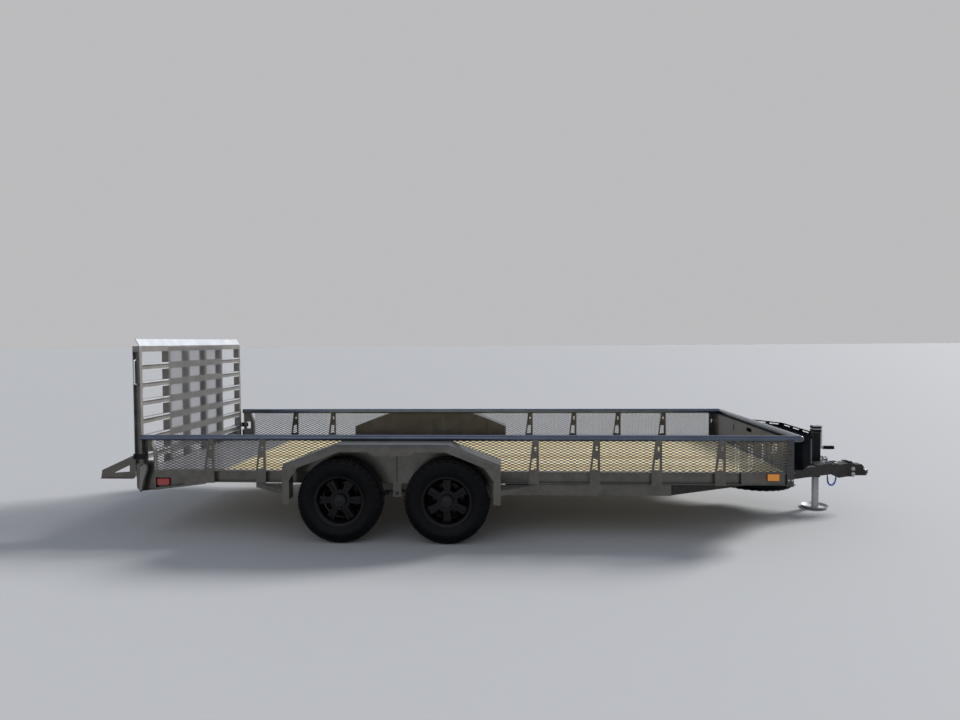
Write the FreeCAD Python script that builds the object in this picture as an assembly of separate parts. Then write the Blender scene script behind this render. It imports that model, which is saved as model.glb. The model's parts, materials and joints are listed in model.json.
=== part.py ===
# Tandem-axle utility trailer with mesh sides, wood deck and an upright ramp gate.
# Lengths are millimetres. X is the station ahead of the top rail's rear tip, Y is to
# the left, Z is up from the road. Each node is shifted at export so that the whole
# trailer's box is centred on the origin.
import os
import math
import FreeCAD
import Part

os.makedirs("parts", exist_ok=True)
V = FreeCAD.Vector

# Overall sizes
RAIL_TIP = 5508.0          # front of the top rail
FRAME_HALF = 1055.0        # outer face of posts and top rail
SKIN = 5.0                 # post plate over the side rail's flanges
SEAT_GAP = 0.3             # running seat of a guided or resting piece
RUN_GAP = 0.05             # radial clearance of a shaft in its bore
SHEET = 3.0                # formed sheet of fenders and panels

# Side rails: channels that open outwards
RAIL_Y = FRAME_HALF - SKIN
RAIL_FLANGE = 46.0
RAIL_T = 6.0
DECK_Z = 545.0
RAIL_DEPTH = 100.0
RAIL_Z = DECK_Z - RAIL_DEPTH
WEB_Y = RAIL_Y - RAIL_FLANGE + RAIL_T
IN_Y = WEB_Y - RAIL_T
FRAME_REAR = 20.0
FRAME_FRONT = 5440.0

# Rear of the side rails, closed and deeper towards the gate
DROP_END = 565.0
DROP_REAR_Z = 376.0
DROP_END_Z = 430.0

# Top rail tube
TOP_R = 25.0
TOP_Z = 820.0
TOP_Y = FRAME_HALF - TOP_R

# Posts
POST_TOP_W = 50.0
POST_LOW_W = 85.0
POST_RETURN = 12.0
POST_EDGE = 6.0
POST_STATIONS = (650.0, 1095.0, 3385.0, 3883.0, 4382.0, 4888.0)
FRONT_POST = (5369.0, 5424.0)
REAR_POST = (16.0, 132.0)
REAR_POST_WALL = 5.0
MESH_T = 3.0
MESH_Y = RAIL_Y - POST_RETURN
MESH_BAR = 14.0            # between the openings of the plain mesh
SIDE_GRID = (12, 3)
GATE_GRID = (8, 8)

# Deck
BOARD_T = 38.0
BOARD_COUNT = 14
BOARD_GAP = 3.0
CROSS_H = DECK_Z - BOARD_T - RAIL_Z
CROSS_W = 38.0
CROSS_T = 5.0
CROSS_STATIONS = (460.0, 865.0, 1270.0, 1675.0, 2080.0, 2485.0, 2890.0, 3295.0,
                  3700.0, 4105.0, 4510.0, 4950.0)
END_MEMBER_W = 55.0

# Wheels and axles
AXLE_STATIONS = (("rear", 1774.0, 0.0), ("front", 2644.0, 30.0))  # end, station, turn of the spokes
AXLE_Z = 344.0
AXLE_R = 38.0
SPINDLE_R = 22.0
BRAKE_Y = RAIL_Y + 12.0
BRAKE_T = 6.0
BRAKE_R = 132.0
DRUM_GAP = 5.0
WHEEL_Y = FRAME_HALF + 121.0
TYRE_R = 344.0
TYRE_W = 205.0
RIM_R = 190.5
SPOKES = 6
CAP_R = 50.0

# Springs
SPRING_W = 44.0
SPRING_HALF = 330.0
EYE_Z = 361.0
EYE_R = 17.0
PIN_R = 8.0
LEAF_T = 9.0
SIDE_PLAY = 1.0
HANGER_T = 6.0
SPRING_Y = RAIL_Y - HANGER_T - SIDE_PLAY - SPRING_W / 2
HANGER_W = 72.0
HANGER_Z = 331.0
SHACKLE_REACH = 58.0

# Fender
FENDER_W = 245.0
FENDER_Y = RAIL_Y + FENDER_W
FENDER_Z = 803.0
FENDER_SHOULDER = 642.0
BACK_Y = RAIL_Y + SHEET
BEVEL = 26.0

# Tongue
BEAM_H = 90.0
BEAM_W = 51.0
BEAM_T = 6.0
BEAM_OUT = RAIL_Y - 15.0
BEAM_REAR = 3110.0
BEAM_BEND = 4459.0
NOSE_X = 6230.0
NOSE_HALF = 117.0
TIES = ((4700.0, 6.0, 60.0), (5465.0, 70.0, 20.0))  # station, foot above the beams' low face, height
TIE_W = 50.0

# Coupler
SOCKET_X = 6490.0
SOCKET_R = 30.0
SOCKET_Z = 322.0
SOCKET_H = 50.0
HEAD_R = 50.0
NOSE_TIP = 6545.0
CHEEK_Y = 57.0
CHEEK_T = 8.0
CHEEK_BEND = 6345.0
CHEEK_END = 6405.0
BRACKET_LOW = 312.0
BRACKET_TOP = 437.0
SHANK_TOP = 427.0

# Jack
JACK_X = 6066.0
JACK_OUT = 66.0
JACK_WALL = 5.0
JACK_GAP = 5.0
JACK_TOP = 797.0
JACK_CAP_H = 70.0
JACK_LOW = 300.0
JACK_PLATE = 8.0
JACK_PLATE_HALF = 90.0
LEG_TOP = 470.0
FOOT_R = 118.0
FOOT_FLAT = 92.0
FOOT_RISE = 20.0
FOOT_T = 6.0

# Toolbox
BOX_REAR = 5535.0
BOX_FRONT = 5885.0
BOX_BREAK = 5690.0
BOX_HALF = 600.0
BOX_NOSE = 318.0
BOX_FOOT = 35.0
BOX_TOP = 738.0
BOX_WALL = 4.0
LID_LIP = 12.0
LID_SKIRT = 26.0
LID_T = 5.0
LID_GAP = 5.0
LID_PIN = 5.0
LID_HINGE_X = BOX_REAR - LID_PIN  # axis of the lid's hinge
LEAF_H = 14.0
GUARD_H = 34.0

# Gate
HINGE_X = -30.0
HINGE_Z = 450.0
HINGE_OUT = 19.0
HINGE_PIN = 9.5
HINGE_HALF = 25.0
GATE_FACE = -14.0
GATE_BACK = -76.0
GATE_HALF = FRAME_HALF - 57.0
HINGE_PLACES = (218.0 - GATE_HALF, 0.0, GATE_HALF - 218.0)
GATE_LOW = 478.0
GATE_TOP = 1600.0
GATE_BAR = 36.0
GATE_T = 5.0
INNER_BARS = (175.0, 525.0)
RUNG_COUNT = 6
RUNG_FIRST = GATE_LOW + 162.0
RUNG_LAST = GATE_TOP - 180.0
RUNG_H = 60.0
RUNG_DEEP = 48.0
LIP_BACK = 37.0
LIP_UP = 62.0
GATE_MESH_HALF = INNER_BARS[1] + 15.0
KNEE_Y = GATE_HALF - 63.0
KNEE_T = 8.0
KNEE_REACH = 344.0
KNEE_TIP = GATE_BACK - KNEE_REACH

# Spare wheel, hung flat below the tongue
SPARE_X = TIES[1][0] + TIE_W / 2
SPARE_Z = RAIL_Z - BEAM_H + TIES[1][1] - TYRE_W / 2 - 0.5
CARRIER_R = 10.0

MID = (KNEE_TIP + NOSE_TIP) / 2.0


def box(x0, x1, y0, y1, z0, z1):
    return Part.makeBox(x1 - x0, y1 - y0, z1 - z0, V(x0, y0, z0))


def face(points):
    return Part.Face(Part.makePolygon(points + [points[0]]))


def side_plate(points, y0, y1):
    """Outline in station and height, extruded across the trailer."""
    return face([V(x, y0, z) for x, z in points]).extrude(V(0, y1 - y0, 0))


def floor_plate(points, z0, z1):
    """Outline seen from above, extruded upwards."""
    return face([V(x, y, z0) for x, y in points]).extrude(V(0, 0, z1 - z0))


def rod(a, b, r):
    axis = V(*b) - V(*a)
    return Part.makeCylinder(r, axis.Length, V(*a), axis)


def cross_rod(x, y0, y1, z, r):
    """Cylinder that lies across the trailer."""
    low, high = min(y0, y1), max(y0, y1)
    return Part.makeCylinder(r, high - low, V(x, low, z), V(0, 1, 0))


def join(shapes):
    if len(shapes) == 1:
        return shapes[0]
    return shapes[0].multiFuse(shapes[1:]).removeSplitter()


def mirror(shape):
    return shape.mirror(V(0, 0, 0), V(0, 1, 0))


def both(shape):
    return [shape, mirror(shape)]


def node(name, solids):
    solids = solids if isinstance(solids, list) else [solids]
    shape = solids[0] if len(solids) == 1 else Part.makeCompound(solids)
    shape = shape.copy()
    shape.translate(V(-MID, 0, 0))
    shape.exportStep("parts/" + name + ".step")


# Top rail: a tube down each side, and one across the front, coped round them to ball corners
FRONT_TUBE_X = RAIL_TIP - TOP_R
SIDE_TUBE = rod((0, -TOP_Y, TOP_Z), (FRONT_TUBE_X, -TOP_Y, TOP_Z), TOP_R)
SIDE_TUBES = Part.makeCompound(both(SIDE_TUBE))
FRONT_TUBE = join([rod((FRONT_TUBE_X, -TOP_Y, TOP_Z), (FRONT_TUBE_X, TOP_Y, TOP_Z), TOP_R)]
                  + [Part.makeSphere(TOP_R, V(FRONT_TUBE_X, y, TOP_Z)) for y in (-TOP_Y, TOP_Y)])
FRONT_TUBE = FRONT_TUBE.cut(SIDE_TUBES)
node("top_rail_right", SIDE_TUBE)
node("top_rail_left", mirror(SIDE_TUBE))
node("front_rail", FRONT_TUBE)

# Side rails, with the deep rear cheek, its lamp pocket and the front lamp's plate
FRONT_PLATE = (5015.0, 5365.0)
LAMP_PLATE_Y = RAIL_Y - 12.0
POCKET = [(140.0, 398.0), (388.0, 426.0), (388.0, 486.0), (140.0, 486.0)]
POCKET_DEEP = 22.0


def side_rail():
    rear = REAR_POST[1]
    parts = [box(rear, FRAME_FRONT, -WEB_Y, -IN_Y, RAIL_Z, DECK_Z),
             box(rear, FRAME_FRONT, -RAIL_Y, -IN_Y, RAIL_Z, RAIL_Z + RAIL_T),
             box(rear, FRAME_FRONT, -RAIL_Y, -IN_Y, DECK_Z - RAIL_T, DECK_Z),
             box(FRONT_PLATE[0], FRONT_PLATE[1], -LAMP_PLATE_Y, -LAMP_PLATE_Y + SHEET,
                 RAIL_Z + RAIL_T, DECK_Z - RAIL_T)]
    cheek = side_plate([(rear, DECK_Z), (rear, DROP_REAR_Z), (DROP_END, DROP_END_Z),
                        (DROP_END, DECK_Z)], -FRAME_HALF, -RAIL_Y)
    pocket = side_plate([(x + dx, z + dz) for (x, z), (dx, dz) in
                         zip(POCKET, ((-4, -4), (4, -4), (4, 4), (-4, 4)))], -RAIL_Y, -RAIL_Y + POCKET_DEEP)
    hollow = side_plate(POCKET, -FRAME_HALF - 1, -RAIL_Y + POCKET_DEEP - SHEET)
    lip = side_plate([(rear, DROP_REAR_Z), (DROP_END, DROP_END_Z), (DROP_END, DROP_END_Z + 5),
                      (rear, DROP_REAR_Z + 5)], -RAIL_Y, -WEB_Y)
    return join(parts + [cheek, pocket, lip]).cut(hollow)


SIDE_RAIL = side_rail()
node("side_rail_right", SIDE_RAIL)
node("side_rail_left", mirror(SIDE_RAIL))


def hinge_ears():
    """Chassis half of each gate hinge: two ears and the pin between them."""
    parts = []
    for y in HINGE_PLACES:
        for side in (-1, 1):
            y0, y1 = sorted((y + side * (HINGE_HALF + 1), y + side * (HINGE_HALF + 21)))
            parts.append(cross_rod(HINGE_X, y0, y1, HINGE_Z, HINGE_OUT))
            parts.append(box(HINGE_X, FRAME_REAR, y0, y1, HINGE_Z - HINGE_OUT, HINGE_Z + HINGE_OUT))
        parts.append(cross_rod(HINGE_X, y - HINGE_HALF - 21, y + HINGE_HALF + 21, HINGE_Z, HINGE_PIN))
    return parts


# Crossmembers: channels under the boards, and a boxed member at each end
REAR_MEMBER = (FRAME_REAR, FRAME_REAR + END_MEMBER_W)
FRONT_MEMBER = (FRAME_FRONT - END_MEMBER_W, FRAME_FRONT)
rear_tube = box(*REAR_MEMBER, -IN_Y, IN_Y, RAIL_Z, DECK_Z)
node("rear_crossmember", join([rear_tube] + hinge_ears()))
node("front_crossmember", box(*FRONT_MEMBER, -IN_Y, IN_Y, RAIL_Z, DECK_Z))


def crossmember(x):
    outer = box(x, x + CROSS_W, -IN_Y, IN_Y, RAIL_Z, RAIL_Z + CROSS_H)
    return outer.cut(box(x + CROSS_T, x + CROSS_W + 1, -IN_Y, IN_Y, RAIL_Z + CROSS_T,
                         RAIL_Z + CROSS_H - CROSS_T))


node("deck_crossmembers", [crossmember(x) for x in CROSS_STATIONS])

# Deck boards, laid lengthwise between the rails
BOARD_W = (2 * IN_Y - (BOARD_COUNT - 1) * BOARD_GAP) / BOARD_COUNT
boards = []
for i in range(BOARD_COUNT):
    y = -IN_Y + i * (BOARD_W + BOARD_GAP)
    boards.append(box(REAR_MEMBER[1], FRONT_MEMBER[0], y, y + BOARD_W, RAIL_Z + CROSS_H, DECK_Z))
node("deck_boards", boards)


# Side posts: tapered plates with a return down each edge and gussets in the rail's mouth
def post(front):
    top = TOP_Z - 8
    low, high = front - POST_LOW_W, front - POST_TOP_W
    plate = side_plate([(front, RAIL_Z - 5), (front, top), (high, top), (low, DECK_Z), (low, RAIL_Z - 5)],
                       -FRAME_HALF, -RAIL_Y)
    lean = (high - low) / (top - DECK_Z)
    slot = side_plate([(front - 20, DECK_Z + 18), (front - 20, DECK_Z + 110),
                       (low + 16 + lean * 110, DECK_Z + 110), (low + 16 + lean * 18, DECK_Z + 18)],
                      -FRAME_HALF - 1, -RAIL_Y + 1)
    hole = side_plate([(front - 20, top - 92), (front - 20, top - 56), (front - 36, top - 56),
                       (front - 36, top - 92)], -FRAME_HALF - 1, -RAIL_Y + 1)
    edges = [box(front - POST_EDGE, front, -RAIL_Y, -MESH_Y, DECK_Z, top),
             side_plate([(low, DECK_Z), (low + POST_EDGE, DECK_Z), (high + POST_EDGE, top),
                         (high, top)], -RAIL_Y, -MESH_Y)]
    for x in (low, front - POST_EDGE):
        edges.append(box(x, x + POST_EDGE, -RAIL_Y, -WEB_Y, RAIL_Z + RAIL_T, DECK_Z - RAIL_T))
    return join([plate.cut(slot).cut(hole)] + edges).cut(SIDE_TUBE)


posts = [post(x) for x in POST_STATIONS]
node("side_posts_right", posts)
node("side_posts_left", [mirror(p) for p in posts])


# Corner posts
def front_corner_post():
    x0, x1 = FRONT_POST
    top = TOP_Z - 8
    plate = box(x0, x1, -FRAME_HALF, -RAIL_Y, RAIL_Z - 10, top)
    slot = box(x0 + 22, x1 - 19, -FRAME_HALF - 1, -RAIL_Y + 1, 690, 726)
    leg = box(x1 - POST_EDGE, x1, -RAIL_Y, -RAIL_Y + 50, DECK_Z, top)
    gussets = [box(x, x + POST_EDGE, -RAIL_Y, -WEB_Y, RAIL_Z + RAIL_T, DECK_Z - RAIL_T)
               for x in (x0, x1 - POST_EDGE)]
    return join([plate.cut(slot), leg] + gussets).cut(SIDE_TUBE).cut(FRONT_TUBE)


# The rear corner posts are trays that open outwards, with a window and a ribbed corner plate
TRAY = [(16.0, 366.0), (16.0, 812.0), (92.0, 812.0), (124.0, 722.0), (132.0, 680.0), (132.0, 378.0)]
TRAY_INSIDE = [(21.0, 371.0), (21.0, 813.0), (86.0, 813.0), (118.5, 721.0), (127.0, 679.0), (127.0, 382.0)]
TRAY_WINDOW = (50.0, 97.0, 621.0, 699.0)
EAR = [(-24.0, 400.0), (-24.0, 601.0), (60.0, 601.0), (78.0, 578.0), (76.0, 545.0), (49.0, 477.0),
       (24.0, 372.0), (10.0, 358.0), (0.0, 366.0)]
EAR_FIELD = [(14.0, 590.0), (56.0, 594.0), (72.0, 575.0), (70.0, 547.0), (43.0, 479.0), (20.0, 380.0),
             (2.0, 384.0)]
EAR_RIBS = 10
RIB_PITCH = 22.0
RIB_H = 9.0
RIB_PROUD = 8.0


def rear_corner_post():
    tray = side_plate(TRAY, -RAIL_Y, -IN_Y)
    tray = tray.cut(side_plate(TRAY_INSIDE, -RAIL_Y - 1, -IN_Y - REAR_POST_WALL))
    x0, x1, z0, z1 = TRAY_WINDOW
    tray = tray.cut(box(x0, x1, -IN_Y - 2 * REAR_POST_WALL, -IN_Y + 1, z0, z1)).cut(SIDE_TUBE)
    face_y = -FRAME_HALF - SKIN
    ear = side_plate(EAR, face_y, -RAIL_Y)
    field = side_plate(EAR_FIELD, face_y - RIB_PROUD, face_y)
    ribs = []
    for i in range(EAR_RIBS):
        z = EAR[0][1] - 48 + RIB_PITCH * i
        band = [(0, z), (80, z + 56), (80, z + 56 + RIB_H), (0, z + RIB_H)]
        ribs.append(side_plate(band, face_y - RIB_PROUD, face_y).common(field))
    return join([tray, ear] + ribs)


node("front_corner_posts", both(front_corner_post()))
node("rear_corner_posts", [s for p in both(rear_corner_post()) for s in p.Solids])


def grid_cutters(u0, u1, v0, v1, counts, make):
    """Boxes that open a sheet in even columns and rows, with a bar between them."""
    wide = (u1 - u0 - (counts[0] + 1) * MESH_BAR) / counts[0]
    high = (v1 - v0 - (counts[1] + 1) * MESH_BAR) / counts[1]
    cutters = []
    for i in range(counts[0]):
        for k in range(counts[1]):
            u = u0 + MESH_BAR + i * (wide + MESH_BAR)
            v = v0 + MESH_BAR + k * (high + MESH_BAR)
            cutters.append(make(u, u + wide, v, v + high))
    return Part.makeCompound(cutters)


# Side mesh panels, a plain grid in the solids
MESH_SPAN = (REAR_POST[1], FRONT_POST[1] - POST_EDGE, DECK_Z, TOP_Z - 10)
mesh = box(MESH_SPAN[0], MESH_SPAN[1], -MESH_Y, -MESH_Y + MESH_T, MESH_SPAN[2], MESH_SPAN[3])
mesh = mesh.cut(grid_cutters(*MESH_SPAN, SIDE_GRID, lambda x0, x1, z0, z1:
                             box(x0, x1, -MESH_Y - 1, -MESH_Y + MESH_T + 1, z0, z1)))
mesh = mesh.cut(SIDE_TUBE).cut(FRONT_TUBE)
node("side_mesh_right", mesh)
node("side_mesh_left", mirror(mesh))

# Front panel below the front rail, folded at the foot, with its hand slot and two slits
PANEL_X = FRONT_POST[1]
HAND_SLOT = (-115.0, 15.0, 735.0, 772.0)
head = TOP_Z - TOP_R
panel = join([box(PANEL_X, PANEL_X + SHEET, -RAIL_Y, RAIL_Y, DECK_Z, head),
              box(PANEL_X, FRONT_TUBE_X, -TOP_Y, TOP_Y, head - SHEET, head),
              box(PANEL_X, FRAME_FRONT, -RAIL_Y, RAIL_Y, DECK_Z, DECK_Z + SHEET)])
panel = panel.cut(box(PANEL_X - 1, PANEL_X + 9, *HAND_SLOT))
for y in (-385.0, 385.0):
    panel = panel.cut(box(PANEL_X - 1, PANEL_X + 9, y - 12, y + 12, 695, 757))
node("front_panel", panel.cut(FRONT_TUBE))

# Fenders: a folded top with a bevelled outer edge, a skirt, and steps to the side rail
FENDER_TOP = [(1325.0, FENDER_SHOULDER), (1758.0, FENDER_Z), (2668.0, FENDER_Z),
              (3076.0, FENDER_SHOULDER)]
FENDER_LEG = 328.0
SKIRT = [(3021.0, 286.0), (2950.0, 181.0), (2640.0, 57.0), (2395.0, 57.0), (2354.0, 86.0),
         (2235.0, 86.0), (2211.0, 105.0), (2187.0, 86.0), (2059.0, 86.0), (2022.0, 57.0),
         (1786.0, 57.0), (1448.0, 185.0), (1380.0, 286.0)]  # station, drop below the fender's top
SKIRT_LOW = [(x, FENDER_Z - drop) for x, drop in SKIRT]
LEG_W = 55.0
STEP_Z = 404.0
STEP_H = 30.0
STEP_T = 6.0
STEP_LAP = 12.0
STEPS = ((3385.0, FENDER_TOP[-1][0]), (1010.0, FENDER_TOP[0][0]))  # station at the rail, at the leg


def bent_band(top, foot, y0, y1, drop):
    """Solid under a line of top points, its outer edge lowered by a bevel."""
    def wire(y, fall):
        pts = [(top[0][0], foot)] + [(x, z - fall) for x, z in top] + [(top[-1][0], foot)]
        return Part.makePolygon([V(x, y, z) for x, z in pts + pts[:1]])
    straight = Part.makeLoft([wire(y1, 0.0), wire(y0 + drop, 0.0)], True, True)
    slope = Part.makeLoft([wire(y0 + drop, 0.0), wire(y0, drop)], True, True)
    return join([straight, slope])


def fender():
    rear_x, front_x = FENDER_TOP[0][0], FENDER_TOP[-1][0]
    lean = math.hypot(FENDER_TOP[1][0] - rear_x, FENDER_TOP[1][1] - FENDER_TOP[0][1])
    sheet_z = SHEET * lean / (FENDER_TOP[1][0] - rear_x)
    leg_z = FENDER_SHOULDER - sheet_z + 1
    inner_top = [(rear_x + SHEET, leg_z), (FENDER_TOP[1][0] + 0.6, FENDER_Z - SHEET),
                 (FENDER_TOP[2][0] - 0.6, FENDER_Z - SHEET), (front_x - SHEET, leg_z)]
    shell = bent_band(FENDER_TOP, FENDER_LEG, -FENDER_Y, -BACK_Y, BEVEL)
    shell = shell.cut(bent_band(inner_top, FENDER_LEG - 1, -FENDER_Y + SHEET, -BACK_Y + 1, BEVEL))
    window = ([(rear_x + LEG_W, FENDER_LEG - 1)] + SKIRT_LOW[::-1] + [(front_x - LEG_W, FENDER_LEG - 1)])
    shell = shell.cut(side_plate(window, -FENDER_Y - 1, -FENDER_Y + SHEET + 0.5))
    steps = []
    for x_rail, x_leg in STEPS:
        way = 1 if x_rail > x_leg else -1
        reach = FENDER_Y - 5
        steps.append(floor_plate([(x_leg, -reach), (x_rail, -RAIL_Y), (x_leg, -RAIL_Y)],
                                 STEP_Z + STEP_H, STEP_Z + STEP_H + STEP_T))
        x0, x1 = sorted((x_rail, x_rail - way * 70))
        steps.append(box(x0, x1, -RAIL_Y, -RAIL_Y + STEP_LAP, STEP_Z + STEP_H, RAIL_Z))
        steps.append(floor_plate([(x_leg, -reach), (x_rail, -RAIL_Y), (x_rail - way * 24, -RAIL_Y),
                                  (x_leg, -reach + 18)], STEP_Z, STEP_Z + STEP_H))
    return join([shell] + steps)


FENDER = fender()
node("fender_right", FENDER)
node("fender_left", mirror(FENDER))

# Fender backings: the panel behind the wheels with a tongue between them and its seam
TONGUE_PLATE = (1990.0, 2420.0, RAIL_Z + RAIL_T)
SEAM = (2206.0, 2213.0, 458.0, 680.0)
back = side_plate([(FENDER_TOP[0][0], DECK_Z)] + FENDER_TOP
                  + [(FENDER_TOP[-1][0], DECK_Z), (TONGUE_PLATE[1] + 40, DECK_Z),
                     (TONGUE_PLATE[1], TONGUE_PLATE[2]), (TONGUE_PLATE[0], TONGUE_PLATE[2]),
                     (TONGUE_PLATE[0] - 40, DECK_Z)], -BACK_Y, -RAIL_Y)
back = back.cut(box(SEAM[0], SEAM[1], -BACK_Y - 1, -BACK_Y + 2, SEAM[2], SEAM[3])).cut(SIDE_TUBE)
node("fender_backings", both(back))

# Leaf springs under the axles: three stepped leaves with an eye at each end
SEAT_Z = AXLE_Z - AXLE_R - 10


def leaf_arc(half, rise, z_mid, y0, y1):
    """Leaf that sags in the middle and rises at both ends."""
    def curve(z):
        return Part.Arc(V(-half, y0, z + rise), V(0, y0, z), V(half, y0, z + rise)).toShape()
    ends = [Part.makeLine(V(s * half, y0, z_mid - LEAF_T + rise), V(s * half, y0, z_mid + rise))
            for s in (-1, 1)]
    wire = Part.Wire(Part.__sortEdges__([curve(z_mid - LEAF_T), curve(z_mid)] + ends))
    return Part.Face(wire).extrude(V(0, y1 - y0, 0))


def spring(x):
    y0, y1 = -SPRING_Y - SPRING_W / 2, -SPRING_Y + SPRING_W / 2
    rise = EYE_Z - EYE_R + LEAF_T / 2 - SEAT_Z
    parts = []
    for i, share in enumerate((1.0, 0.72, 0.42)):
        parts.append(leaf_arc(SPRING_HALF * share, rise * share * share, SEAT_Z - i * LEAF_T, y0, y1))
    for s in (-1, 1):
        parts.append(cross_rod(s * SPRING_HALF, y0, y1, EYE_Z, EYE_R))
    leafs = join(parts)
    for s in (-1, 1):
        leafs = leafs.cut(cross_rod(s * SPRING_HALF, y0 - 1, y1 + 1, EYE_Z, PIN_R))
    leafs.translate(V(x, 0, 0))
    return leafs


springs = [s for _, x, _ in AXLE_STATIONS for s in both(spring(x))]
node("leaf_springs", springs)

# Axles with spindles, brake backing plates and spring seats
axles = []
for _, x, _ in AXLE_STATIONS:
    parts = [cross_rod(x, -SPRING_Y - 25, SPRING_Y + 25, AXLE_Z, AXLE_R)]
    for side in (-1, 1):
        parts.append(cross_rod(x, side * (SPRING_Y + 10), side * (WHEEL_Y + 14), AXLE_Z, SPINDLE_R))
        parts.append(cross_rod(x, side * (SPRING_Y + 25), side * BRAKE_Y, AXLE_Z, AXLE_R + 8))
        parts.append(cross_rod(x, side * BRAKE_Y, side * (BRAKE_Y + BRAKE_T), AXLE_Z, BRAKE_R))
        y0, y1 = sorted((side * (SPRING_Y - SPRING_W / 2), side * (SPRING_Y + SPRING_W / 2)))
        parts.append(box(x - 40, x + 40, y0, y1, SEAT_Z, AXLE_Z - 20))
    axles.append(join(parts).cut(Part.makeCompound(springs)))
node("axles", axles)

# Spring hangers: two cheeks, a bridge and a pin at each place
REAR_AX, FRONT_AX = AXLE_STATIONS[0][1], AXLE_STATIONS[1][1]
MID_AX = (REAR_AX + FRONT_AX) / 2
HANGERS = (REAR_AX - SPRING_HALF, MID_AX, FRONT_AX + SPRING_HALF)
Y_OUT = SPRING_Y + SPRING_W / 2 + SIDE_PLAY
Y_INN = SPRING_Y - SPRING_W / 2 - SIDE_PLAY


def hanger(x):
    half = HANGER_W / 2
    cheeks = [box(x - half, x + half, -Y_OUT - HANGER_T, -Y_OUT, HANGER_Z, RAIL_Z),
              box(x - half, x + half, -Y_INN, -Y_INN + HANGER_T, HANGER_Z, RAIL_Z)]
    bridge = box(x - half, x + half, -Y_OUT - HANGER_T, -Y_INN + HANGER_T, RAIL_Z - HANGER_T, RAIL_Z)
    pin = cross_rod(x, -Y_OUT - HANGER_T, -Y_INN + HANGER_T, EYE_Z, PIN_R)
    return join(cheeks + [bridge, pin])


node("spring_hangers", [s for x in HANGERS for s in both(hanger(x))])


# Equalizers rock between the springs and carry them in shackles
def equalizer():
    reach = MID_AX - REAR_AX - SPRING_HALF
    y0, y1 = -SPRING_Y - SPRING_W / 2 + 4, -SPRING_Y + SPRING_W / 2 - 4
    half = SHACKLE_REACH + 14
    block = side_plate([(MID_AX - half, EYE_Z - 12), (MID_AX - half, EYE_Z + 14), (MID_AX - 26, EYE_Z + 30),
                        (MID_AX + 26, EYE_Z + 30), (MID_AX + half, EYE_Z + 14), (MID_AX + half, EYE_Z - 12)],
                       y0, y1)
    parts = [block.cut(cross_rod(MID_AX, y0 - 1, y1 + 1, EYE_Z, PIN_R))]
    for s in (-1, 1):
        x_eye, x_block = MID_AX + s * reach, MID_AX + s * SHACKLE_REACH
        x0, x1 = sorted((x_eye + s * 14, MID_AX + s * (HANGER_W / 2 + 6)))
        for cheek in (-Y_OUT - HANGER_T, -Y_INN):
            parts.append(box(x0, x1, cheek, cheek + HANGER_T, EYE_Z - 14, EYE_Z + 14))
        for x in (x_eye, x_block):
            parts.append(cross_rod(x, -Y_OUT - HANGER_T, -Y_INN + HANGER_T, EYE_Z, PIN_R))
    return join(parts)


node("equalizers", both(equalizer()))


# Wheels, made about the origin with the axle along Y: a plain-tread tyre, and a dished
# rim with six grooved spokes
def tyre():
    rows = [(RIM_R, 70.0), (RIM_R + 16, 82.0), (246.0, 99.0), (284.0, TYRE_W / 2), (324.0, 93.0),
            (TYRE_R, 60.0)]  # radius, half width
    ring = face([V(r, w, 0) for r, w in rows + [(r, -w) for r, w in reversed(rows)]])
    return ring.revolve(V(0, 0, 0), V(0, 1, 0), 360)


def spoke(y_face, out):
    """One spoke, wider at the rim, with a groove down its face."""
    root, tip = CAP_R + 2, RIM_R - 20
    y_back = y_face - out * 26
    y0, y1 = sorted((y_back, y_face))
    bar = side_plate([(-21, root), (21, root), (33, tip), (-33, tip)], y0, y1)
    low, high = root + 26, tip - 8
    return bar.cut(side_plate([(-7, low), (7, low), (13, high), (-13, high)], y_face - 8, y_face + 8))


def rim(out, turn, mounted):
    """Rim whose face points along out, with the drum and cap where it is mounted."""
    rows = [(RIM_R, -70), (RIM_R, -58), (RIM_R - 16, -46), (RIM_R - 16, 40), (RIM_R, 55), (RIM_R, 70),
            (RIM_R + 11, 80), (RIM_R + 12, 86), (RIM_R - 5, 82), (RIM_R - 14, 70), (RIM_R - 22, 46),
            (RIM_R - 22, -50), (RIM_R - 10, -78), (RIM_R + 12, -86), (RIM_R + 11, -80)]
    barrel = face([V(r, out * w, 0) for r, w in rows]).revolve(V(0, 0, 0), V(0, 1, 0), 360)
    y_face = out * 44
    parts = [barrel, cross_rod(0, y_face - out * 30, y_face - out * 5, 0, 84)]
    for i in range(SPOKES):
        bar = spoke(y_face, out)
        bar.rotate(V(0, 0, 0), V(0, 1, 0), 90.0 + turn + 360.0 * i / SPOKES)
        parts.append(bar)
    if not mounted:
        return join(parts).cut(cross_rod(0, -RIM_R, RIM_R, 0, CARRIER_R + 2))
    drum_y = out * (BRAKE_Y + BRAKE_T + DRUM_GAP - WHEEL_Y)
    parts.append(cross_rod(0, drum_y, drum_y + out * 46, 0, BRAKE_R - 4))
    parts.append(cross_rod(0, drum_y + out * 20, y_face - out * 6, 0, 56))
    parts.append(cross_rod(0, y_face - out * 6, out * 66, 0, CAP_R))
    return join(parts).cut(cross_rod(0, drum_y - out * 15, out * 20, 0, SPINDLE_R + RUN_GAP))


def placed(shape, x, y, z, turn_x=0.0):
    """Copy that is turned about X, then moved."""
    copy = shape.copy()
    copy.rotate(V(0, 0, 0), V(1, 0, 0), turn_x)
    copy.translate(V(x, y, z))
    return copy


TYRE = tyre()
for end, x, turn in AXLE_STATIONS:
    for side, word in ((-1, "right"), (1, "left")):
        node(end + "_" + word + "_tyre", placed(TYRE, x, side * WHEEL_Y, AXLE_Z))
        node(end + "_" + word + "_wheel", placed(rim(side, turn, True), x, side * WHEEL_Y, AXLE_Z))

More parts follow.
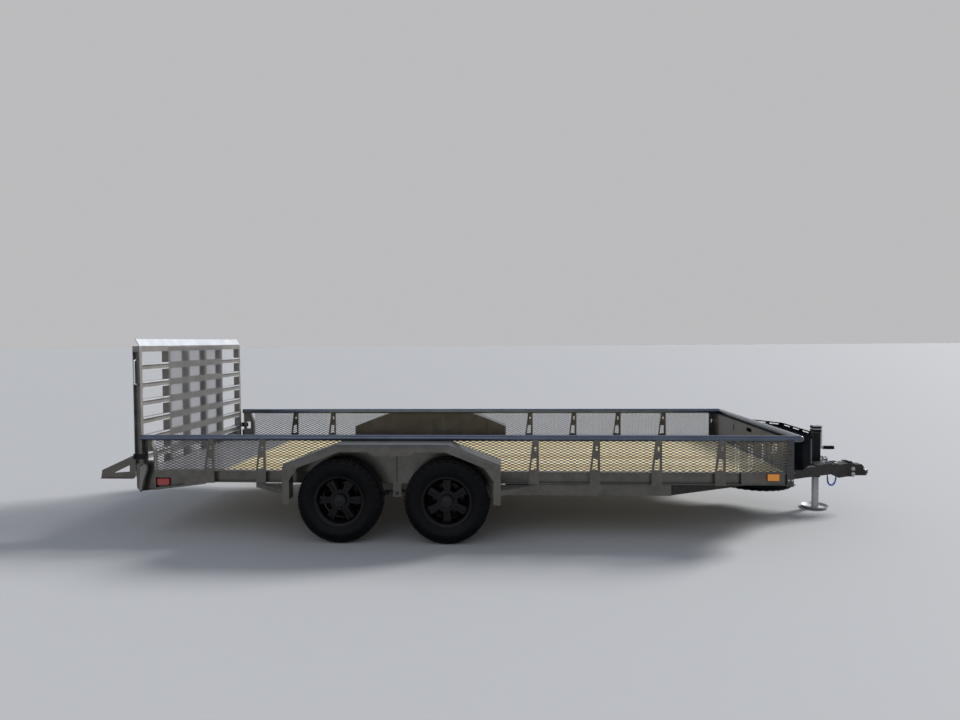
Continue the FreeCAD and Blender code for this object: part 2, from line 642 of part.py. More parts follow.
# Spare wheel, face down on a hanging rod with its plate
node("spare_tyre", placed(TYRE, SPARE_X, 0, SPARE_Z, -90))
node("spare_wheel", placed(rim(1, 0.0, False), SPARE_X, 0, SPARE_Z, -90))
PLATE_Z = SPARE_Z - 39.0 - SEAT_GAP
ROD_LOW, ROD_TOP = PLATE_Z - 30, RAIL_Z - BEAM_H + TIES[1][1]
carrier = join([rod((SPARE_X, 0, ROD_LOW), (SPARE_X, 0, ROD_TOP), CARRIER_R),
                rod((SPARE_X, 0, PLATE_Z - 6), (SPARE_X, 0, PLATE_Z), CAP_R - 2),
                box(SPARE_X - 24, SPARE_X + 24, -7, 7, PLATE_Z - 26, PLATE_Z - 6)])
node("spare_carrier", carrier)

# Tongue: two channel beams that close in from the axles to the coupler bracket
BEAM_TURN = math.degrees(math.atan2(BEAM_OUT - NOSE_HALF, NOSE_X - BEAM_BEND))


def offset_line(inset):
    """Plan line of the right beam, a distance in from its outer face."""
    turn = math.radians(BEAM_TURN)
    bend_x = BEAM_BEND - inset * math.tan(turn / 2)
    y_nose = NOSE_HALF - inset / math.cos(turn)
    return [(BEAM_REAR, -(BEAM_OUT - inset)), (bend_x, -(BEAM_OUT - inset)), (NOSE_X, -y_nose)]


def beam_y(x, inset):
    """Half width between the sloping beams at a station, a distance in from their faces."""
    _, (x0, y0), (x1, y1) = offset_line(inset)
    return -(y0 + (y1 - y0) * (x - x0) / (x1 - x0))


def tongue():
    z0, z1 = RAIL_Z - BEAM_H, RAIL_Z
    beam = floor_plate(offset_line(0.0) + offset_line(BEAM_W)[::-1], z0, z1)
    web, far = offset_line(BEAM_T), offset_line(BEAM_W + 5)
    hollow = floor_plate(web[:2] + [(NOSE_X + 1, web[2][1]), (NOSE_X + 1, far[2][1])] + far[:2][::-1],
                         z0 + BEAM_T, z1 - BEAM_T)
    beam = beam.cut(hollow).cut(box(0, 2 * NOSE_X, 0, FRAME_HALF, 0, DECK_Z))
    half = JACK_PLATE_HALF
    wide, narrow = beam_y(JACK_X - half, 4), beam_y(JACK_X + half, 4)
    plate = floor_plate([(JACK_X - half, -wide), (JACK_X + half, -narrow), (JACK_X + half, narrow),
                         (JACK_X - half, wide)], z1, z1 + JACK_PLATE)
    hole = JACK_OUT / 2
    plate = plate.cut(box(JACK_X - hole, JACK_X + hole, -hole, hole, z1 - 1, z1 + JACK_PLATE + 1))
    ties = []
    for x, foot, high in TIES:
        w0, w1 = beam_y(x, BEAM_T), beam_y(x + TIE_W, BEAM_T)
        plan = [(x, -w0), (x + TIE_W, -w1), (x + TIE_W, w1), (x, w0)]
        ties.append(floor_plate(plan, z0 + foot, z0 + foot + high))
    return join([beam, mirror(beam), plate] + ties)


node("tongue_beams", tongue())

# Coupler bracket: a tapered box on the beams' tips whose cheeks run on past its mouth
def bracket_outline(inset, x0, x1):
    """Symmetric plan of the bracket, a distance in from its faces."""
    near = [(x0, NOSE_HALF - inset), (CHEEK_BEND, CHEEK_Y - inset), (x1, CHEEK_Y - inset)]
    return [(x, -y) for x, y in near] + [(x, y) for x, y in reversed(near)]


bracket = floor_plate(bracket_outline(0.0, NOSE_X, CHEEK_END), BRACKET_LOW, BRACKET_TOP)
inside = bracket_outline(CHEEK_T, NOSE_X + CHEEK_T, CHEEK_END + 1)
bracket = bracket.cut(floor_plate(inside, BRACKET_LOW + CHEEK_T, BRACKET_TOP - CHEEK_T))
mouth = CHEEK_Y - CHEEK_T
bracket = bracket.cut(box(CHEEK_BEND, CHEEK_END + 1, -mouth, mouth, 0, 2 * BRACKET_TOP))
node("coupler_bracket", bracket)


def coupler():
    """Cast shank with the ball socket, and its latch with the lever."""
    z1 = SOCKET_Z + SOCKET_H
    shank = side_plate([(CHEEK_BEND + 8, SOCKET_Z), (SOCKET_X + 2, SOCKET_Z), (SOCKET_X + 2, SHANK_TOP - 18),
                        (SOCKET_X - 14, SHANK_TOP), (CHEEK_BEND + 8, SHANK_TOP)], -mouth, mouth)
    head = Part.makeCylinder(HEAD_R, SOCKET_H, V(SOCKET_X, 0, SOCKET_Z))
    dome = Part.makeCone(HEAD_R, HEAD_R - 16, 16, V(SOCKET_X, 0, z1))
    nose = box(SOCKET_X, NOSE_TIP, -19, 19, SOCKET_Z + 12, z1)
    latch = side_plate([(CHEEK_END - 32, SHANK_TOP), (CHEEK_END - 32, SHANK_TOP + 14),
                        (CHEEK_END - 20, SHANK_TOP + 22), (CHEEK_END - 4, SHANK_TOP + 22),
                        (CHEEK_END + 8, SHANK_TOP)], -14, 14)
    lever = side_plate([(CHEEK_BEND - 34, BRACKET_TOP + 14), (CHEEK_BEND - 28, BRACKET_TOP + 24),
                        (CHEEK_BEND + 10, BRACKET_TOP + 24), (CHEEK_END - 14, SHANK_TOP + 14),
                        (CHEEK_END - 20, SHANK_TOP), (CHEEK_BEND + 8, BRACKET_TOP + 12)], -10, 10)
    socket = Part.makeCylinder(SOCKET_R, SOCKET_H, V(SOCKET_X, 0, SOCKET_Z))
    return join([shank, head, dome, nose, latch, lever]).cut(socket)


node("coupler", coupler())

# Jack: fixed tube with its crank, and the drop leg with its dished foot
half = JACK_OUT / 2
bore = half - JACK_WALL
guide = bore - JACK_GAP + SEAT_GAP


def square_ring(outer, inner, z0, z1):
    solid = box(JACK_X - outer, JACK_X + outer, -outer, outer, z0, z1)
    return solid.cut(box(JACK_X - inner, JACK_X + inner, -inner, inner, z0 - 1, z1 + 1))


CAP_LOW = JACK_TOP - JACK_CAP_H
node("jack_tube", join([square_ring(half, bore, JACK_LOW, CAP_LOW),
                        square_ring(half, guide, JACK_LOW, JACK_LOW + 30)]))


def cap_tier(grow, z0, z1):
    wide = half + grow
    return box(JACK_X - wide, JACK_X + wide, -wide, wide, z0, z1)


dome = cap_tier(3.0, JACK_TOP - 32, JACK_TOP)
dome = dome.makeChamfer(9, [e for e in dome.Edges if min(v.Z for v in e.Vertexes) > JACK_TOP - 1])
cap = [cap_tier(3.0, CAP_LOW, CAP_LOW + 30), cap_tier(-4.0, CAP_LOW + 30, JACK_TOP - 32), dome]
CRANK_X = JACK_X + half + 7
CRANK_Z = JACK_TOP - 17
CRANK_W = 18.0
GRIP_Z = 580.0
GRIP_X = CRANK_X + CRANK_W + 10
crank = [rod((JACK_X + half, 0, CRANK_Z), (CRANK_X, 0, CRANK_Z), 10),
         box(CRANK_X, CRANK_X + CRANK_W, -9, 9, GRIP_Z - 10, CRANK_Z + 12),
         rod((CRANK_X + CRANK_W, 0, GRIP_Z), (GRIP_X, 0, GRIP_Z), 6),
         rod((GRIP_X, 0, GRIP_Z), (GRIP_X + 102, 0, GRIP_Z), 15)]
node("jack_crank", join(cap + crank))
leg_half = bore - JACK_GAP
leg = box(JACK_X - leg_half, JACK_X + leg_half, -leg_half, leg_half, FOOT_T, LEG_TOP)
foot_rows = [(0, 0), (FOOT_FLAT, 0), (FOOT_R, FOOT_RISE), (FOOT_R, FOOT_RISE + FOOT_T),
             (FOOT_FLAT - 2, FOOT_T), (0, FOOT_T)]  # radius, height
foot = face([V(JACK_X + r, 0, z) for r, z in foot_rows]).revolve(V(JACK_X, 0, 0), V(0, 0, 1), 360)
node("jack_leg", join([leg, foot]))

# Toolbox on the tongue, and its lid with the rear hinge and the pierced guard
def plan_outline(grow, rear_grow=0.0):
    """Symmetric plan outline, moved outwards by a distance."""
    turn = math.atan2(BOX_HALF - BOX_NOSE, BOX_FRONT - BOX_BREAK)
    near = [(BOX_REAR - rear_grow, BOX_HALF + grow),
            (BOX_BREAK + grow * math.tan(turn / 2), BOX_HALF + grow),
            (BOX_FRONT + grow, BOX_NOSE + grow * math.tan((math.pi / 2 - turn) / 2))]
    return [(x, -y) for x, y in near] + [(x, y) for x, y in reversed(near)]


BOX_LOW = RAIL_Z + BOX_FOOT
chest = floor_plate(plan_outline(0.0), BOX_LOW, BOX_TOP)
chest = chest.cut(floor_plate(plan_outline(-BOX_WALL, -BOX_WALL), BOX_LOW + BOX_WALL, BOX_TOP + 1))
feet = [floor_plate([(x, -beam_y(x, 0)), (x + 40, -beam_y(x + 40, 0)), (x + 40, -beam_y(x + 40, BEAM_W)),
                     (x, -beam_y(x, BEAM_W))], RAIL_Z, BOX_LOW) for x in (BOX_REAR, BOX_BREAK + 40)]
LID_LOW = BOX_TOP + SEAT_GAP
HINGE_LEAF = (-500.0, -180.0, 180.0, 500.0)


def lid_barrels(mine):
    """Barrels of the lid's hinge: the chest has the outer thirds, the lid the middle ones."""
    parts = []
    for y0, y1 in ((HINGE_LEAF[0], HINGE_LEAF[1]), (HINGE_LEAF[2], HINGE_LEAF[3])):
        third = (y1 - y0) / 3
        spans = [(y0, y0 + third - 1), (y1 - third + 1, y1)] if mine else [(y0 + third, y1 - third)]
        for a, b in spans:
            parts.append(cross_rod(LID_HINGE_X, a, b, LID_LOW, LID_PIN))
    return parts


lugs = lid_barrels(True)
leaves = [box(LID_HINGE_X, BOX_REAR, y0, y1, LID_LOW - LEAF_H, LID_LOW)
          for y0, y1 in [(b.BoundBox.YMin, b.BoundBox.YMax) for b in lugs]]
node("toolbox", join([chest] + feet + [mirror(f) for f in feet] + lugs + leaves))

LID_CUT_X = BOX_REAR + 1.0
lid = floor_plate(plan_outline(LID_LIP), LID_LOW + LID_T - LID_SKIRT, LID_LOW + LID_T)
lid = lid.cut(floor_plate(plan_outline(LID_GAP, 2 * BOX_WALL + LID_LIP), LID_LOW - LID_SKIRT, LID_LOW))
lid = lid.cut(box(0, LID_CUT_X, -2 * BOX_HALF, 2 * BOX_HALF, 0, 2 * BOX_TOP))
guard_top = LID_LOW + LID_T + GUARD_H
guard = floor_plate(plan_outline(0.0), LID_LOW + LID_T, guard_top)
guard = guard.cut(floor_plate(plan_outline(-BOX_WALL, BOX_WALL), LID_LOW, guard_top + 1))
guard = guard.cut(box(0, BOX_BREAK - 30, -2 * BOX_HALF, 2 * BOX_HALF, 0, 2 * BOX_TOP))
window = (LID_LOW + LID_T + 11, guard_top - 11)
for y in (-205.0, 0.0, 205.0):
    guard = guard.cut(box(BOX_FRONT - 20, BOX_FRONT + 20, y - 68, y + 68, *window))
for share in (0.3, 0.72):
    x = BOX_BREAK + (BOX_FRONT - BOX_BREAK) * share
    guard = guard.cut(box(x - 30, x + 30, -BOX_HALF - 50, BOX_HALF + 50, *window))
tabs = [join([b, box(LID_HINGE_X, LID_CUT_X + 4, b.BoundBox.YMin, b.BoundBox.YMax,
                     LID_LOW, LID_LOW + LID_T)]) for b in lid_barrels(False)]
node("toolbox_lid", join([lid, guard] + tabs))

# Safety chains: eight-sided rings that turn by a quarter from link to link
LINK_L, LINK_W, LINK_R = 54.0, 32.0, 4.5


def ring_outline(half_w, half_l):
    """Long outline with chamfered round ends, made of eight corners."""
    k = half_w * math.tan(math.pi / 8)
    quarter = [(half_l, k), (half_l - half_w + k, half_w)]
    right = quarter + [(-x, y) for x, y in reversed(quarter)]
    return right + [(-x, -y) for x, y in right]


def link(centre, along, roll):
    outer = floor_plate(ring_outline(LINK_W / 2, LINK_L / 2), -LINK_R, LINK_R)
    wire = 2 * LINK_R
    inner = floor_plate(ring_outline(LINK_W / 2 - wire, LINK_L / 2 - wire), -wire, wire)
    ring = outer.cut(inner)
    ring.rotate(V(0, 0, 0), V(1, 0, 0), roll)
    turn = FreeCAD.Rotation(V(1, 0, 0), along)
    ring.Placement = FreeCAD.Placement(centre, turn).multiply(ring.Placement)
    return ring


def chain(points):
    """Links at an even pitch along a run of points."""
    pitch = LINK_L - 4 * LINK_R + 0.6
    links, rest, count = [], pitch / 2, 0
    for a, b in zip(points, points[1:]):
        a, b = V(*a), V(*b)
        run = (b - a).Length
        way = (b - a).normalize()
        while rest <= run:
            links.append(link(a + way * rest, way, 45 + 90 * (count % 2)))
            rest += pitch
            count += 1
        rest -= run
    return links


LINK_RISE = (LINK_W / 2 + LINK_R) * math.sqrt(0.5) + SEAT_GAP
OVER_PLATE = JACK_PLATE + 1
CHAIN_RUN = [(6218.0, 0.0), (6200.0, 0.0), (6165.0, OVER_PLATE), (6062.0, OVER_PLATE)]  # station, rise
right_chain = chain([(x, -beam_y(x, BEAM_W / 2), RAIL_Z + LINK_RISE + rise) for x, rise in CHAIN_RUN])
node("safety_chains", right_chain + [mirror(c) for c in right_chain])

# Breakaway cord: a curly cord's loop that hangs under the right beam near the nose
CORD_R = 8.0
CORD_X = 6110.0
CORD_SHARE = 0.45  # of the shorter run, which an arc takes up
CORD_ROUTE = [(0.0, 0.0), (0.0, -36.0), (3.0, -73.0), (24.0, -102.0), (58.0, -114.0), (92.0, -102.0),
              (113.0, -73.0), (116.0, -36.0), (116.0, 0.0)]  # along the beam, and up from its underside


def tube_along(points, r):
    """Tube on straight runs joined by tangent arcs, as large as the runs allow."""
    edges, start, length = [], points[0], 0.0
    for a, b, c in zip(points, points[1:], points[2:]):
        into, out = b - a, c - b
        turn = into.getAngle(out)
        cut = CORD_SHARE * min(into.Length, out.Length)
        radius = cut / math.tan(turn / 2)
        print("cord radius", round(radius, 1))
        into.normalize()
        out.normalize()
        p, q = b - into * cut, b + out * cut
        middle = b + (out - into).normalize() * (radius / math.cos(turn / 2) - radius)
        edges.append(Part.LineSegment(start, p).toShape())
        edges.append(Part.Arc(p, middle, q).toShape())
        length += (p - start).Length + radius * turn
        start = q
    edges.append(Part.LineSegment(start, points[-1]).toShape())
    length += (points[-1] - start).Length
    ring = Part.Wire(Part.makeCircle(r, points[0], points[1] - points[0]))
    tube = Part.Wire(edges).makePipeShell([ring], True, True)
    share = tube.Volume / (math.pi * r * r * length)
    print("cord length", round(length, 1), "volume share", round(share, 4))
    return tube


way = math.radians(BEAM_TURN)
cord_y = -beam_y(CORD_X, BEAM_W / 2)
cord = [V(CORD_X + u * math.cos(way), cord_y + u * math.sin(way), RAIL_Z - BEAM_H + z)
        for u, z in CORD_ROUTE]
node("breakaway_cord", tube_along(cord, CORD_R))

# Marker lamps
AMBER = (5220.0, 5310.0, 482.0, 536.0)
RED = (146.0, 251.0, 420.0, 472.0)
LAMP_DEEP = 16.0
a0, a1, az0, az1 = AMBER
node("amber_lamps", both(box(a0, a1, -LAMP_PLATE_Y - LAMP_DEEP, -LAMP_PLATE_Y, az0, az1)))
r0, r1, rz0, rz1 = RED
back_y = -RAIL_Y + POCKET_DEEP - SHEET
node("red_lamps", both(box(r0, r1, back_y - LAMP_DEEP, back_y, rz0, rz1)))

# Gate latches: a plate behind each rear post with its bolt short of the gate
LATCH = (636.0, 684.0)
LATCH_FRONT = 46.0
latch = join([box(GATE_FACE - 40, LATCH_FRONT, -FRAME_HALF, -RAIL_Y, *LATCH),
              cross_rod(GATE_FACE - 22, -FRAME_HALF - 16, -GATE_HALF - 8, sum(LATCH) / 2, HINGE_PIN)])
node("gate_latches", both(latch))


# Gate: channel uprights, boxed top and foot, angle rungs and the bent lip
def upright(y_web, way):
    """Channel upright whose web is at y_web and whose flanges point along way."""
    y_flange = y_web + way * GATE_BAR
    y_in = y_web + way * GATE_T
    ys, yw = sorted((y_web, y_flange)), sorted((y_web, y_in))
    return [box(GATE_BACK, GATE_FACE, *yw, GATE_LOW, GATE_TOP),
            box(GATE_FACE - GATE_T, GATE_FACE, *ys, GATE_LOW, GATE_TOP),
            box(GATE_BACK, GATE_BACK + GATE_T, *ys, GATE_LOW, GATE_TOP)]


END_WEB = GATE_HALF - GATE_BAR  # the end uprights open outwards


def gate_frame():
    parts = [box(GATE_BACK, GATE_FACE, -GATE_HALF, GATE_HALF, GATE_LOW, GATE_LOW + 50),
             box(GATE_BACK, GATE_FACE, -GATE_HALF, GATE_HALF, GATE_TOP - 50, GATE_TOP)]
    for side in (-1, 1):
        parts += upright(side * END_WEB, side)
        for y in INNER_BARS:
            parts += upright(side * (y + GATE_BAR / 2), -side)
    for i in range(RUNG_COUNT):
        high = RUNG_FIRST + (RUNG_LAST - RUNG_FIRST) * i / (RUNG_COUNT - 1) + RUNG_H / 2
        parts.append(box(GATE_FACE - GATE_T, GATE_FACE, -END_WEB, END_WEB, high - RUNG_H, high))
        parts.append(box(GATE_FACE - RUNG_DEEP, GATE_FACE, -END_WEB, END_WEB, high - GATE_T, high))
    lip = side_plate([(GATE_FACE, GATE_TOP), (GATE_FACE - LIP_BACK, GATE_TOP + LIP_UP),
                      (GATE_FACE - LIP_BACK - GATE_T, GATE_TOP + LIP_UP), (GATE_FACE - GATE_T, GATE_TOP)],
                     -GATE_HALF + 3, GATE_HALF - 3)
    for y in HINGE_PLACES:
        arm = box(HINGE_X - HINGE_OUT, HINGE_X + HINGE_OUT - 4, y - HINGE_HALF, y + HINGE_HALF,
                  HINGE_Z, GATE_LOW)
        barrel = cross_rod(HINGE_X, y - HINGE_HALF, y + HINGE_HALF, HINGE_Z, HINGE_OUT)
        hole = cross_rod(HINGE_X, y - HINGE_HALF - 1, y + HINGE_HALF + 1, HINGE_Z, HINGE_PIN + RUN_GAP)
        parts.append(join([arm, barrel]).cut(hole))
    return join(parts + [lip])


GATE_FRAME = gate_frame()
node("gate_frame", GATE_FRAME)
GATE_SPAN = (-GATE_MESH_HALF, GATE_MESH_HALF, GATE_LOW + 20, GATE_TOP - 12)
gate_mesh = box(GATE_FACE, GATE_FACE + MESH_T, *GATE_SPAN)
node("gate_mesh", gate_mesh.cut(grid_cutters(*GATE_SPAN, GATE_GRID, lambda u0, u1, v0, v1:
                                             box(GATE_FACE - 1, GATE_FACE + MESH_T + 1, u0, u1, v0, v1))))

# Knees that prop the gate when it is down
KNEE = [(-KNEE_REACH, -30.0), (11 - KNEE_REACH, 43.0), (-63.0, 166.0), (0.0, 193.0), (0.0, 22.0),
        (-50.0, -26.0)]  # behind the gate's back, above the gate's foot
KNEE_HOLE = [(-225.0, 20.0), (-83.0, 87.0), (-85.0, 31.0)]


def knee_plate(points, y0, y1):
    return side_plate([(GATE_BACK + dx, GATE_LOW + dz) for dx, dz in points], y0, y1)


knee = knee_plate(KNEE, -KNEE_Y - KNEE_T / 2, -KNEE_Y + KNEE_T / 2)
foot = box(KNEE_TIP, GATE_BACK + KNEE[-1][0], -KNEE_Y - 16, -KNEE_Y + 16, GATE_LOW - 30, GATE_LOW - 25)
knee = join([knee.cut(knee_plate(KNEE_HOLE, -KNEE_Y - KNEE_T, -KNEE_Y + KNEE_T)), foot])
strap = box(GATE_BACK - 5, GATE_BACK, -GATE_HALF + 2, -KNEE_Y + KNEE_T / 2, GATE_LOW + 82,
            GATE_LOW + KNEE[3][1])
node("gate_knees", both(join([knee, strap])))

# Grab handles in the open sides of the gate's end uprights
HANDLE_X = (GATE_FACE + GATE_BACK) / 2
HANDLE_Z = (GATE_TOP - 345.0, GATE_TOP - 100.0)
HANDLE_R = 7.0
HANDLE_OUT = 34.0
HANDLE_Y = GATE_HALF + HANDLE_OUT
HANDLE_ROOT = END_WEB + GATE_T
corners = [(HANDLE_X, -HANDLE_ROOT, HANDLE_Z[0] + HANDLE_R), (HANDLE_X, -HANDLE_Y, HANDLE_Z[0] + 24),
           (HANDLE_X, -HANDLE_Y, HANDLE_Z[1] - 24), (HANDLE_X, -HANDLE_ROOT, HANDLE_Z[1] - HANDLE_R)]
handle = join([rod(a, b, HANDLE_R) for a, b in zip(corners, corners[1:])]
              + [Part.makeSphere(HANDLE_R, V(*c)) for c in corners[1:3]])
handle = handle.cut(box(GATE_BACK, GATE_FACE, -HANDLE_ROOT, HANDLE_ROOT, GATE_LOW, GATE_TOP))
node("gate_handles", both(handle))
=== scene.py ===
# Utility trailer with mesh sides: finishes, woven steel, tyres, fixings and the studio around it.
# Metres in the trailer's own frame, +X to the coupler, +Y to its left, +Z up. Stations are in millimetres.
import bpy
import bmesh
import json
from math import atan2, cos, pi, radians, sin
from mathutils import Matrix, Vector


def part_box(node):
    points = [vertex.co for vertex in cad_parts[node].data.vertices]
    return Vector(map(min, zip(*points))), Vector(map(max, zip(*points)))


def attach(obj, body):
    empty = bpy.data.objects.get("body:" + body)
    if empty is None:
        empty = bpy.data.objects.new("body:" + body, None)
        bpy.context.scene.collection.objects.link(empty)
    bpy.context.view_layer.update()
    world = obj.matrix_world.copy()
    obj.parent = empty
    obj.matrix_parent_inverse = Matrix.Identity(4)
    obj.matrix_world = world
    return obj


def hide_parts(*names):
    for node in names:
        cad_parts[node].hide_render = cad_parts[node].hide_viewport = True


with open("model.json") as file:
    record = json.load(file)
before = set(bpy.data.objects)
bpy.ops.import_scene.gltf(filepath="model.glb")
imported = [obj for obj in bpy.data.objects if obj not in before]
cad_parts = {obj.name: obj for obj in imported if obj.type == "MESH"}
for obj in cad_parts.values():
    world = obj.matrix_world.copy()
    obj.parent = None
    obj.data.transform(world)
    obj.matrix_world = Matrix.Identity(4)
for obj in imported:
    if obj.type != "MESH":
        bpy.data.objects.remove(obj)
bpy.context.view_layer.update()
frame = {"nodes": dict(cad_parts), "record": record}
print("frame loaded:", len(frame["nodes"]), "nodes")

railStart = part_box("top_rail_right")[0].x


def station(mm):
    # millimetres ahead of the top rail's rear tip, as X in metres
    return railStart + mm * 0.001


# Finishes

def shaderOf(name):
    finish = bpy.data.materials.new(name)
    finish.use_nodes = True
    return finish, finish.node_tree.nodes, finish.node_tree.links, finish.node_tree.nodes["Principled BSDF"]


def objectCoords(nodes, links, scale=(1, 1, 1)):
    coords = nodes.new("ShaderNodeTexCoord")
    mapping = nodes.new("ShaderNodeMapping")
    mapping.inputs["Scale"].default_value = scale
    links.new(coords.outputs["Object"], mapping.inputs["Vector"])
    return mapping.outputs["Vector"]


def noiseOf(nodes, links, vector, scale, detail, rough=0.5):
    noise = nodes.new("ShaderNodeTexNoise")
    noise.inputs["Scale"].default_value = scale
    noise.inputs["Detail"].default_value = detail
    noise.inputs["Roughness"].default_value = rough
    links.new(vector, noise.inputs["Vector"])
    return noise.outputs["Fac"]


def rampOf(nodes, links, value, stops):
    ramp = nodes.new("ShaderNodeValToRGB")
    ramp.color_ramp.elements[0].position = stops[0][0]
    ramp.color_ramp.elements[0].color = (*stops[0][1], 1)
    ramp.color_ramp.elements[1].position = stops[-1][0]
    ramp.color_ramp.elements[1].color = (*stops[-1][1], 1)
    for place, color in stops[1:-1]:
        ramp.color_ramp.elements.new(place).color = (*color, 1)
    links.new(value, ramp.inputs["Fac"])
    return ramp.outputs["Color"]


def bumpOf(nodes, links, height, strength, distance, shader):
    bump = nodes.new("ShaderNodeBump")
    bump.inputs["Strength"].default_value = strength
    bump.inputs["Distance"].default_value = distance
    links.new(height, bump.inputs["Height"])
    links.new(bump.outputs["Normal"], shader.inputs["Normal"])


def spreadOf(nodes, links, value, low, high):
    spread = nodes.new("ShaderNodeMapRange")
    spread.inputs["To Min"].default_value = low
    spread.inputs["To Max"].default_value = high
    links.new(value, spread.inputs["Value"])
    return spread.outputs["Result"]


def mathOf(nodes, links, operation, value, by=0.0):
    step = nodes.new("ShaderNodeMath")
    step.operation = operation
    step.inputs[1].default_value = by
    links.new(value, step.inputs[0])
    return step.outputs[0]


# what all paints share
sprayed = dict(detail=5.0, rough=0.6, stops=(0.30, 0.72), coatRough=0.12, peelDetail=2.0, depth=0.002)


def paintFinish(name, look):
    # sprayed coat with faint mottling, dust in the colour and a fine orange peel
    finish, nodes, links, shader = shaderOf(name)
    vector = objectCoords(nodes, links)
    blotch = noiseOf(nodes, links, vector, look["blotch"], sprayed["detail"], sprayed["rough"])
    tone = rampOf(nodes, links, blotch, list(zip(sprayed["stops"], (look["dark"], look["light"]))))
    links.new(tone, shader.inputs["Base Color"])
    links.new(spreadOf(nodes, links, blotch, *look["rough"]), shader.inputs["Roughness"])
    shader.inputs["Metallic"].default_value = look["metal"]
    shader.inputs["Specular IOR Level"].default_value = look["spec"]
    shader.inputs["Coat Weight"].default_value = look["coat"]
    shader.inputs["Coat Roughness"].default_value = sprayed["coatRough"]
    peel = noiseOf(nodes, links, vector, look["peel"], sprayed["peelDetail"])
    bumpOf(nodes, links, peel, look["bump"], sprayed["depth"], shader)
    return finish


pewter = dict(dark=(0.080, 0.075, 0.066), light=(0.128, 0.120, 0.107), blotch=9.0, rough=(0.26, 0.40),
              metal=0.70, coat=0.45, peel=420.0, bump=0.10, spec=0.5)
# painted reflection: the rails' blue tint stands in for the sky mirrored in them, on the side rails and the
# front rail
skyReflectionTube = dict(pewter, dark=(0.060, 0.078, 0.110), light=(0.100, 0.125, 0.170), rough=(0.14, 0.22),
                  metal=0.85, coat=0.8)
frontSkyReflectionTube = dict(skyReflectionTube, dark=(0.058, 0.068, 0.088), light=(0.095, 0.110, 0.140), rough=(0.12, 0.20))
pewterMesh = dict(pewter, dark=(0.105, 0.101, 0.095), light=(0.160, 0.153, 0.144), bump=0.04)
gateSteelPaint = dict(pewter, dark=(0.088, 0.086, 0.094), light=(0.130, 0.127, 0.138), metal=0.45,
                      rough=(0.40, 0.52), bump=0.04)
# lighter gate paint for the handles, also a painted highlight on the lip and the rungs' edges
handleAndHighlightSteel = dict(gateSteelPaint, dark=(0.340, 0.350, 0.370), light=(0.440, 0.452, 0.475))
# painted shade: near black, for the front corner posts and the rungs' throats
paintedShadeSteel = dict(pewter, dark=(0.036, 0.036, 0.038), light=(0.064, 0.064, 0.067))
gateFramePaint = dict(pewter, dark=(0.125, 0.119, 0.110), light=(0.190, 0.182, 0.168), rough=(0.40, 0.52),
                      metal=0.55)
# painted shade: the tongue's beams and coupler darker than the frame's paint, as if in shade
shadedTonguePaint = dict(pewter, dark=(0.024, 0.023, 0.022), light=(0.044, 0.042, 0.040), rough=(0.46, 0.58),
                   coat=0.04)
# painted highlight: far lighter than the frame's paint, for the faces of the corner plate's ribs
ribHighlightSteel = dict(pewter, dark=(0.400, 0.388, 0.370), light=(0.540, 0.525, 0.500), metal=0.4)
# painted sunlight: the tail's paint lighter than the frame's
sunlitTailSteel = dict(pewter, dark=(0.230, 0.228, 0.235), light=(0.330, 0.327, 0.336), metal=0.45,
                 rough=(0.42, 0.55))
blackCoat = dict(dark=(0.004, 0.0045, 0.005), light=(0.010, 0.011, 0.012), blotch=6.0, rough=(0.40, 0.55),
                 metal=0.0, coat=0.0, peel=500.0, bump=0.08, spec=0.16)
boxBlack = dict(blackCoat, dark=(0.0045, 0.005, 0.006), light=(0.010, 0.011, 0.013), rough=(0.55, 0.68),
                spec=0.0)
blackGloss = dict(blackCoat, dark=(0.002, 0.002, 0.0025), light=(0.005, 0.005, 0.006), rough=(0.18, 0.32),
                  coat=0.08)
capGrey = dict(blackCoat, dark=(0.011, 0.0115, 0.012), light=(0.020, 0.0205, 0.021), rough=(0.34, 0.44))
chassisBlack = dict(blackCoat, dark=(0.006, 0.006, 0.006), light=(0.020, 0.019, 0.0175), rough=(0.45, 0.70))
darkSteel = dict(chassisBlack, dark=(0.050, 0.049, 0.047), light=(0.100, 0.097, 0.093), rough=(0.40, 0.55),
                 metal=0.8)
zincPlate = dict(dark=(0.40, 0.41, 0.42), light=(0.62, 0.63, 0.64), blotch=30.0, rough=(0.46, 0.60),
                 metal=0.80, coat=0.0, peel=300.0, bump=0.06, spec=0.5)
# painted shade: a darker zinc for the safety chains
shadedChainZinc = dict(zincPlate, dark=(0.13, 0.135, 0.145), light=(0.24, 0.25, 0.265))
legZinc = dict(zincPlate, dark=(0.36, 0.37, 0.38), light=(0.52, 0.53, 0.54), rough=(0.60, 0.72),
               metal=0.45, spec=0.3)

framePaint = paintFinish("framePaint", pewter)
skyReflectionTubePaint = paintFinish("skyReflectionTubePaint", skyReflectionTube)
frontSkyReflectionTubePaint = paintFinish("frontSkyReflectionTubePaint", frontSkyReflectionTube)
meshPaint = paintFinish("meshPaint", pewterMesh)
gateMeshPaint = paintFinish("gateMeshPaint", gateSteelPaint)
handleAndHighlightPaint = paintFinish("handleAndHighlightPaint", handleAndHighlightSteel)
paintedShadePaint = paintFinish("paintedShadePaint", paintedShadeSteel)
gatePaint = paintFinish("gatePaint", gateFramePaint)
shadedBeamPaint = paintFinish("shadedBeamPaint", shadedTonguePaint)
ribHighlightPaint = paintFinish("ribHighlightPaint", ribHighlightSteel)
sunlitTailPaint = paintFinish("sunlitTailPaint", sunlitTailSteel)
blackPaint = paintFinish("blackPaint", blackCoat)
boxPaint = paintFinish("boxPaint", boxBlack)
wheelPaint = paintFinish("wheelPaint", blackGloss)
capPaint = paintFinish("capPaint", capGrey)
axlePaint = paintFinish("axlePaint", chassisBlack)
boltSteel = paintFinish("boltSteel", darkSteel)
